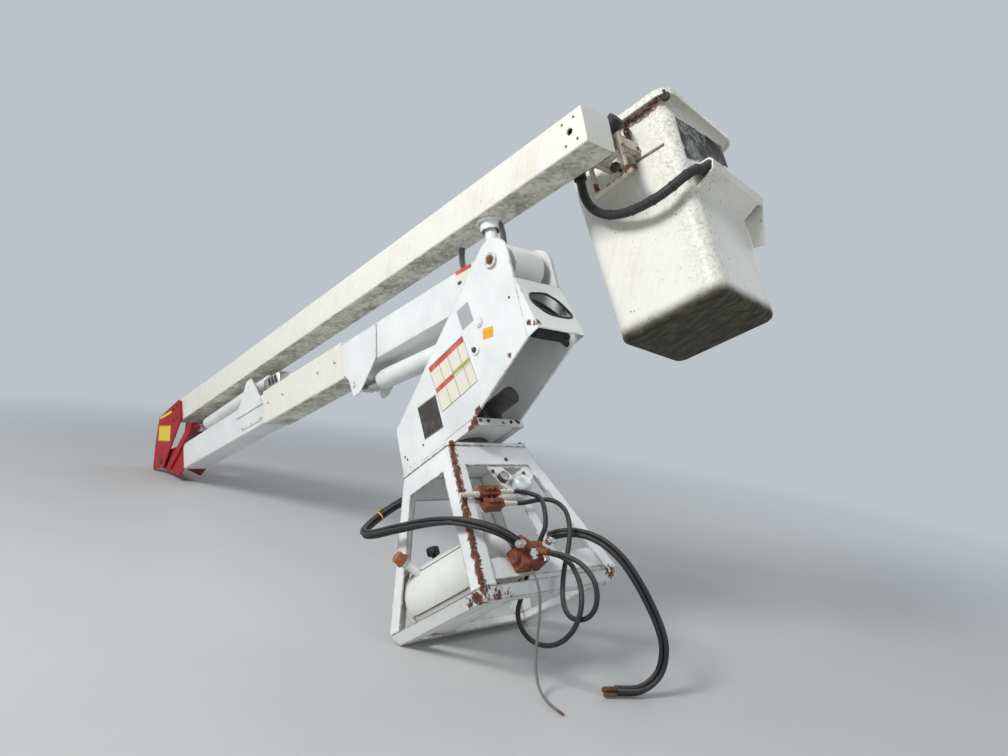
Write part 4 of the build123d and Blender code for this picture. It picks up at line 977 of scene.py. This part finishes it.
class LIFT_OT_bucket_fittings(bpy.types.Operator):
    """Makes the scratched film, the rim chain and the levers beside the bucket"""
    bl_idname = "lift.bucket_fittings"
    bl_label = "Bucket fittings"

    def execute(self, context):
        link = context.scene.lift_sizes.chain_link
        front = at(BUCKET, 276, 0, 0, turned(BUCKET_DRAFT) @ ON_FRONT)
        film = cut_sheet([(-247, 934), (250, 996), (246, 864), (-108, 739), (-249, 691)], 1.2 * MM, 5 * MM)
        settle(moved(film, front), "bucket_film", "bucket", "film")
        links = 10
        hung = []
        for k in range(links):
            share = k / (links - 1)
            sag = 14 * math.sin(math.pi * share)
            hung.append(at(BUCKET, 92 + 190 * share, -321, 1008 + 8 * share - sag,
                           turned(-2) @ turned(90 * (k % 2), "X")))
        settle(copies(chain_piece(link, link / 9), hung), "rim_chain", "bucket", "rust", 60)
        large = [at(BUCKET, 86, -322, z, turned(90) @ turned(90 * k, "X"))
                 for k, z in enumerate((992, 962, 934))]
        settle(copies(chain_piece(1.35 * link, link / 7), large), "rim_shackles", "bucket", "rust",
               60)
        lump = moved(ring(13 * MM, 11 * MM, 1.1), at(BUCKET, 318, -322, 1000, OUT_NEAR))
        hook = moved(disc(9 * MM, 40 * MM, 3 * MM), at(BUCKET, 318, -322, 998))
        settle(join([lump, hook]), "rim_hook", "bucket", "rubber")
        lever = moved(box_piece(38 * MM, 16 * MM, 190 * MM, 6 * MM), at(BUCKET, 62, -310, 848, turned(3)))
        tongue = moved(box_piece(52 * MM, 12 * MM, 46 * MM, 5 * MM), at(BUCKET, 88, -312, 850, turned(-28)))
        settle(join([lever, tongue]), "bucket_lever", "bucket", "beige")
        oval = Matrix.Diagonal((1.2, 1, 0.75, 1))
        knob = moved(disc(17 * MM, 12 * MM, 4 * MM), at(BUCKET, 100, -316, 843, oval @ OUT_NEAR))
        settle(knob, "lever_knob", "bucket", "rust")
        bars = [at(BUCKET, x, -328, 760) for x in (30, 47)]
        settle(copies(disc(4.5 * MM, 205 * MM, 1 * MM, 16), bars), "levelling_wires", "bucket", "rust")
        ends = [at(BUCKET, x, -330, z) for x, z in ((73, 748), (42, 742))]
        settle(copies(disc(13 * MM, 22 * MM, 5 * MM, 20), ends), "wire_ends", "bucket", "rust")
        wheel = join([moved(disc(26 * MM, 10 * MM, 3 * MM), at(BUCKET, -10, -346, 804, OUT_NEAR)),
                      moved(disc(9 * MM, 45 * MM, 2 * MM), at(BUCKET, -10, -302, 804, OUT_NEAR))])
        settle(wheel, "lever_wheel", "bucket", "casting")
        sleeve = begin("cylinder", vertices=40, radius=41 * MM, depth=112 * MM)
        edit(sleeve, lambda face: abs(face.normal.z) > 0.9)
        bpy.ops.mesh.inset(thickness=4 * MM)
        bpy.ops.mesh.inset(thickness=9 * MM, depth=-6 * MM)
        leave()
        settle(moved(sleeve, at(MACHINE, 1379, 205, 1796, turned(74))), "tip_sleeve", "bucket", "rubber")
        ledge = moved(box_piece(168 * MM, 9 * MM, 12 * MM, 3 * MM), at(BUCKET, 149, -301, 797, turned(2)))
        settle(ledge, "bucket_ledge", "bucket", "moss_edge")
        return {"FINISHED"}


class LIFT_OT_turret_fittings(bpy.types.Operator):
    """Makes the collars, the boss, the screws, the hood's rubber edge and the hoses behind it"""
    bl_idname = "lift.turret_fittings"
    bl_label = "Turret fittings"

    def execute(self, context):
        r = context.scene.lift_sizes.bolt
        pin_ends = both_sides(MACHINE, *BOOM_PIN)
        settle(copies(ring(33 * MM, 6 * MM, 0.8), pin_ends), "pin_collars", "turret", "turret_paint")
        socket = disc(23 * MM, 3.5 * MM, 1 * MM)
        settle(copies(join([socket, hexagon(1.2 * r, 0.7 * r)]), pin_ends), "pin_bolts", "turret", "rust")
        boss = at(MACHINE, 451, -SIDE_PLATE, 1083, OUT_NEAR)
        settle(moved(disc(26 * MM, 7 * MM, 3 * MM), boss), "side_boss", "turret", "turret_paint")
        settle(moved(hexagon(1.1 * r, 0.7 * r), at(MACHINE, 449, -SIDE_PLATE - 7, 1086, OUT_NEAR)),
               "side_boss_bolt", "turret", "casting")
        screws = [at(MACHINE, x, -SIDE_PLATE, z, OUT_NEAR)
                  for x, z in ((751, 1185), (-248, 841), (-97, 851), (-262, 862))]
        settle(copies(disc(6 * MM, 2 * MM, 0.6 * MM, 20), screws), "side_screws", "turret", "rubber")
        slope = math.degrees(math.atan2(30, 290))
        plate = at(MACHINE, 852, 0, 960, turned(-slope) @ ON_FRONT)
        edge = [(-113, 143), (-120, 172), (-106, 202), (-80, 210), (10, 226), (42, 210), (82, 190),
                (124, 134), (130, 112), (112, 93), (20, 87), (-46, 94), (-80, 118)]
        rim = pipe([(y, z, 0) for y, z in edge], 5.5 * MM, True)
        settle(moved(rim, plate), "hood_rubber", "turret", "rubber", 80)
        lines = []
        for high, out, width in ((1150, 742, 17), (1118, 770, 18), (1084, 752, 18), (1052, 776, 16),
                                 (1022, 758, 15), (1172, 760, 14)):
            path = [(out - 10, -146, high + 24), (out, -80, high + 12), (out + 12, 0, high - 4),
                    (out + 4, 80, high - 30), (out - 12, 146, high - 48)]
            lines.append(moved(pipe(path, width * MM), MACHINE))
        settle(join(lines), "hood_lines", "turret", "rubber", 80)
        ribs = [at(MACHINE, 796, y, 985, OUT_NEAR) for y in range(-118, 40, 13)]
        core = moved(disc(27 * MM, 178 * MM, 3 * MM), at(MACHINE, 796, 45, 985, OUT_NEAR))
        settle(join([copies(ring(29 * MM, 7 * MM), ribs), core]), "ribbed_boot", "turret", "rubber",
               60)
        return {"FINISHED"}


class LIFT_OT_pedestal_fittings(bpy.types.Operator):
    """Makes the tank's pressed panel and seams, the gauge's face and the silver hose fittings"""
    bl_idname = "lift.pedestal_fittings"
    bl_label = "Pedestal fittings"

    def execute(self, context):
        r = context.scene.lift_sizes.bolt

        def on_tank(x, angle, proud):
            """A place on the tank's outside, the angle in radians up from its near side."""
            reach = TANK_R + proud
            return Vector((x, -reach * math.cos(angle), reach * math.sin(angle)))

        panel_side = at(MACHINE, *TANK, turned(-8, "X"))
        panel = begin("grid", x_subdivisions=12, y_subdivisions=24, size=1)
        for vertex in panel.data.vertices:
            vertex.co = on_tank(7 + vertex.co.x * 505, vertex.co.y * 1.15, 0.8) * MM
        thicken(panel, 2.4 * MM)
        soften = panel.modifiers.new("edge", "BEVEL")
        soften.width = 1 * MM
        bpy.ops.object.modifier_apply(modifier="edge")
        settle(moved(panel, panel_side), "tank_panel", "pedestal", "tank_paint")
        outline = [on_tank(x, math.radians(degrees), 2) for x, degrees in (
            (-246, -33), (-246, 0), (-246, 33), (-120, 34), (7, 34), (134, 34), (260, 33), (260, 0),
            (260, -33), (134, -34), (7, -34), (-120, -34))]
        settle(moved(pipe(outline, 1.6 * MM, True), panel_side), "tank_outline", "pedestal", "casting",
               60)
        seams = [at(MACHINE, x, *TANK[1:], OUT_FRONT) for x in (-272, 256)]
        settle(copies(ring((TANK_R + 0.6) * MM, 2 * MM), seams), "tank_seams", "pedestal", "tank_paint")
        settle(moved(ring(24.5 * MM, 3 * MM), at(FACE, 20, *GAUGE, OUT_FRONT)), "gauge_rim", "pedestal",
               "plated")
        settle(moved(disc(22 * MM, 1.5 * MM, 0.4 * MM), at(FACE, 15.2, *GAUGE, OUT_FRONT)), "gauge_dial",
               "pedestal", "dial")
        needle = moved(box_piece(2 * MM, 26 * MM, 1 * MM, 0.3 * MM, 1),
                       at(FACE, 17.5, *GAUGE, OUT_FRONT @ turned(35, "Z")))
        settle(needle, "gauge_needle", "pedestal", "rubber")
        settle(moved(ring(50 * MM, 4 * MM), at(FACE, 14, 75, 486, OUT_FRONT)), "bowl_ring", "pedestal",
               "plated")
        silver = [at(FACE, 96, -60, 118, turned(35) @ OUT_FAR),
                  at(FACE, 118, -190, 78, turned(20) @ OUT_BELOW),
                  at(FACE, 118, -120, 66, turned(35) @ OUT_BELOW),
                  at(FACE, 112, -215, 112, OUT_NEAR), at(FACE, 60, -212, 130, turned(-25))]
        settle(copies(fitting(1.5 * r, 44 * MM), silver), "valve_fittings", "pedestal", "plated")
        posts = [at(FACE, 0, y, z, OUT_FRONT) for y, z in ((69, 644), (-57, 573), (140, 560), (165, 400))]
        settle(copies(hexagon(0.8 * r, 0.5 * r), posts), "post_bolts", "pedestal", "rust")
        return {"FINISHED"}


class LIFT_OT_boom_fittings(bpy.types.Operator):
    """Makes the slotted casting, the bolted strip and the strap loops"""
    bl_idname = "lift.boom_fittings"
    bl_label = "Boom fittings"

    def execute(self, context):
        r = context.scene.lift_sizes.bolt
        block = box_piece(235 * MM, 120 * MM, 105 * MM, 22 * MM, 4)
        # dark strips painted where each slot opening of the casting lies in shade
        slot_shade_strips = [moved(box_piece(26 * MM, 4 * MM, 60 * MM, 1.5 * MM, 1),
                       at(Matrix(), x, -60.5, 4, turned(-22))) for x in (-10, 34, 78)]
        for dark in slot_shade_strips:
            wear_finish(dark, "rubber")
        wear_finish(block, "plated")
        settle(moved(join([block] + slot_shade_strips), at(BOOM, -2440, 0, 163)), "cylinder_casting", "lower_boom", None)
        strip = moved(box_piece(323 * MM, 5 * MM, 26 * MM, 2 * MM), at(BOOM, -2694, -97.8, -76))
        settle(strip, "boom_strip", "lower_boom", "boom_paint")
        # dark discs painted where each hole of the strip lies in shade
        hole_shade_discs = [at(BOOM, x, -100, -76, OUT_NEAR) for x in (-2835, -2694, -2553)]
        settle(copies(disc(0.6 * r, 1.5 * MM, 0.4 * MM, 16), hole_shade_discs), "strip_holes", "lower_boom", "rubber")
        straps = []
        for way in (((-378, 118), (-418, 200), (-380, 280)), ((-92, 118), (-60, 190), (-80, 280))):
            band = pipe([(x, 0, z) for x, z in way], 9 * MM)
            straps.append(moved(band, at(BOOM, 0, 30, 0, Matrix.Diagonal((1, 2.2, 1, 1)))))
        settle(join(straps), "rest_straps", "lower_boom", "webbing", 60)
        return {"FINISHED"}


class LIFT_OT_stage(bpy.types.Operator):
    """Makes the floor, the soft light and the camera"""
    bl_idname = "lift.stage"
    bl_label = "Stage"

    def execute(self, context):
        floor = begin("grid", x_subdivisions=4, y_subdivisions=4, size=60)
        floor.name = "floor"
        ground = Finish("floor")
        ground.set(Base_Color=ground.mix((0.50, 0.50, 0.49), (0.54, 0.54, 0.53), ground.noise(2, 4)),
                   Roughness=0.9)
        far = ground.vector_math("LENGTH", ground.place, out="Value")
        seen = ground.node("ShaderNodeLightPath", {}, {}, "Is Camera Ray")
        glow = ground.node("ShaderNodeEmission", {}, {"Color": BACKDROP})
        both = ground.node("ShaderNodeMixShader", {}, {
            0: far.above(2.5, 9.0) * seen, 1: Value(ground, ground.shader.outputs[0]), 2: glow})
        ground.feed(ground.tree.nodes["Material Output"].inputs["Surface"], both)
        floor.data.materials.append(ground.material)
        lamps = [  # name, place, size, power
            ("key", (1.6, -6.6, 6.0), 2.2, 520),
            ("fill", (-5.5, -5.0, 4.0), 5.0, 90),
            ("front", (6.5, -0.5, 2.2), 4.0, 45),
            ("back", (0.5, 6.5, 5.5), 5.0, 150),
        ]
        middle = Vector((0.8, 0, 1.0))
        for name, place, size, power in lamps:
            data = bpy.data.lights.new(name, "AREA")
            data.size = size
            data.energy = power
            lamp = bpy.data.objects.new(name, data)
            context.collection.objects.link(lamp)
            lamp.location = place
            lamp.rotation_euler = (middle - Vector(place)).to_track_quat("-Z", "Y").to_euler()
        world = context.scene.world or bpy.data.worlds.new("studio")
        context.scene.world = world
        sky = Graph(world)
        sky.tree.nodes.clear()
        direct, through, mirrored = (sky.node("ShaderNodeLightPath", {}, {}, f"Is {kind} Ray")
                                     for kind in ("Camera", "Transmission", "Glossy"))
        light = sky.node("ShaderNodeBackground", {}, {"Color": (0.62, 0.70, 0.80, 1), "Strength": 0.42})
        backdrop = sky.node("ShaderNodeBackground", {}, {"Color": BACKDROP, "Strength": 1.0})
        either = sky.node("ShaderNodeMixShader", {}, {
            0: direct.most(through).most(mirrored), 1: light, 2: backdrop})
        output = sky.tree.nodes.new("ShaderNodeOutputWorld")
        sky.feed(output.inputs["Surface"], either)
        lens = bpy.data.cameras.new("camera")
        lens.sensor_width = 36
        lens.lens = 27.04
        camera = bpy.data.objects.new("camera", lens)
        context.collection.objects.link(camera)
        right = Vector((0.67330, 0.72821, 0.12784))
        above = Vector((-0.10078, -0.08091, 0.99158))
        toward = Vector((0.73243, -0.68056, 0.01890))
        facing = Matrix((right, above, toward)).transposed().to_4x4()
        camera.matrix_world = Matrix.Translation((4.36019, -2.76259, 1.332)) @ facing
        context.scene.camera = camera
        context.scene.view_settings.view_transform = "Standard"
        return {"FINISHED"}


class LIFT_PT_panel(bpy.types.Panel):
    """Lists the steps that dress the lift"""
    bl_idname = "LIFT_PT_panel"
    bl_label = "Bucket lift"
    bl_space_type = "VIEW_3D"
    bl_region_type = "UI"
    bl_category = "Lift"

    def draw(self, context):
        for group in (context.scene.lift_sizes, context.scene.lift_colours):
            for name in group.__annotations__:
                self.layout.prop(group, name)
        for step in STEPS:
            self.layout.operator(step.bl_idname)


STEPS = [LIFT_OT_finishes, LIFT_OT_single_hoses, LIFT_OT_bundles, LIFT_OT_sheath, LIFT_OT_signs,
         LIFT_OT_bolts, LIFT_OT_bucket_fittings, LIFT_OT_turret_fittings, LIFT_OT_pedestal_fittings,
         LIFT_OT_boom_fittings, LIFT_OT_stage]
CLASSES = [LiftSizes, LiftColours, *STEPS, LIFT_PT_panel]


def register():
    for kind in CLASSES:
        bpy.utils.register_class(kind)
    bpy.types.Scene.lift_sizes = PointerProperty(type=LiftSizes)
    bpy.types.Scene.lift_colours = PointerProperty(type=LiftColours)


def unregister():
    del bpy.types.Scene.lift_colours
    del bpy.types.Scene.lift_sizes
    for kind in reversed(CLASSES):
        bpy.utils.unregister_class(kind)


def main():
    register()
    for step in STEPS:
        group, action = step.bl_idname.split(".")
        getattr(getattr(bpy.ops, group), action)()


if __name__ == "__main__":
    main()
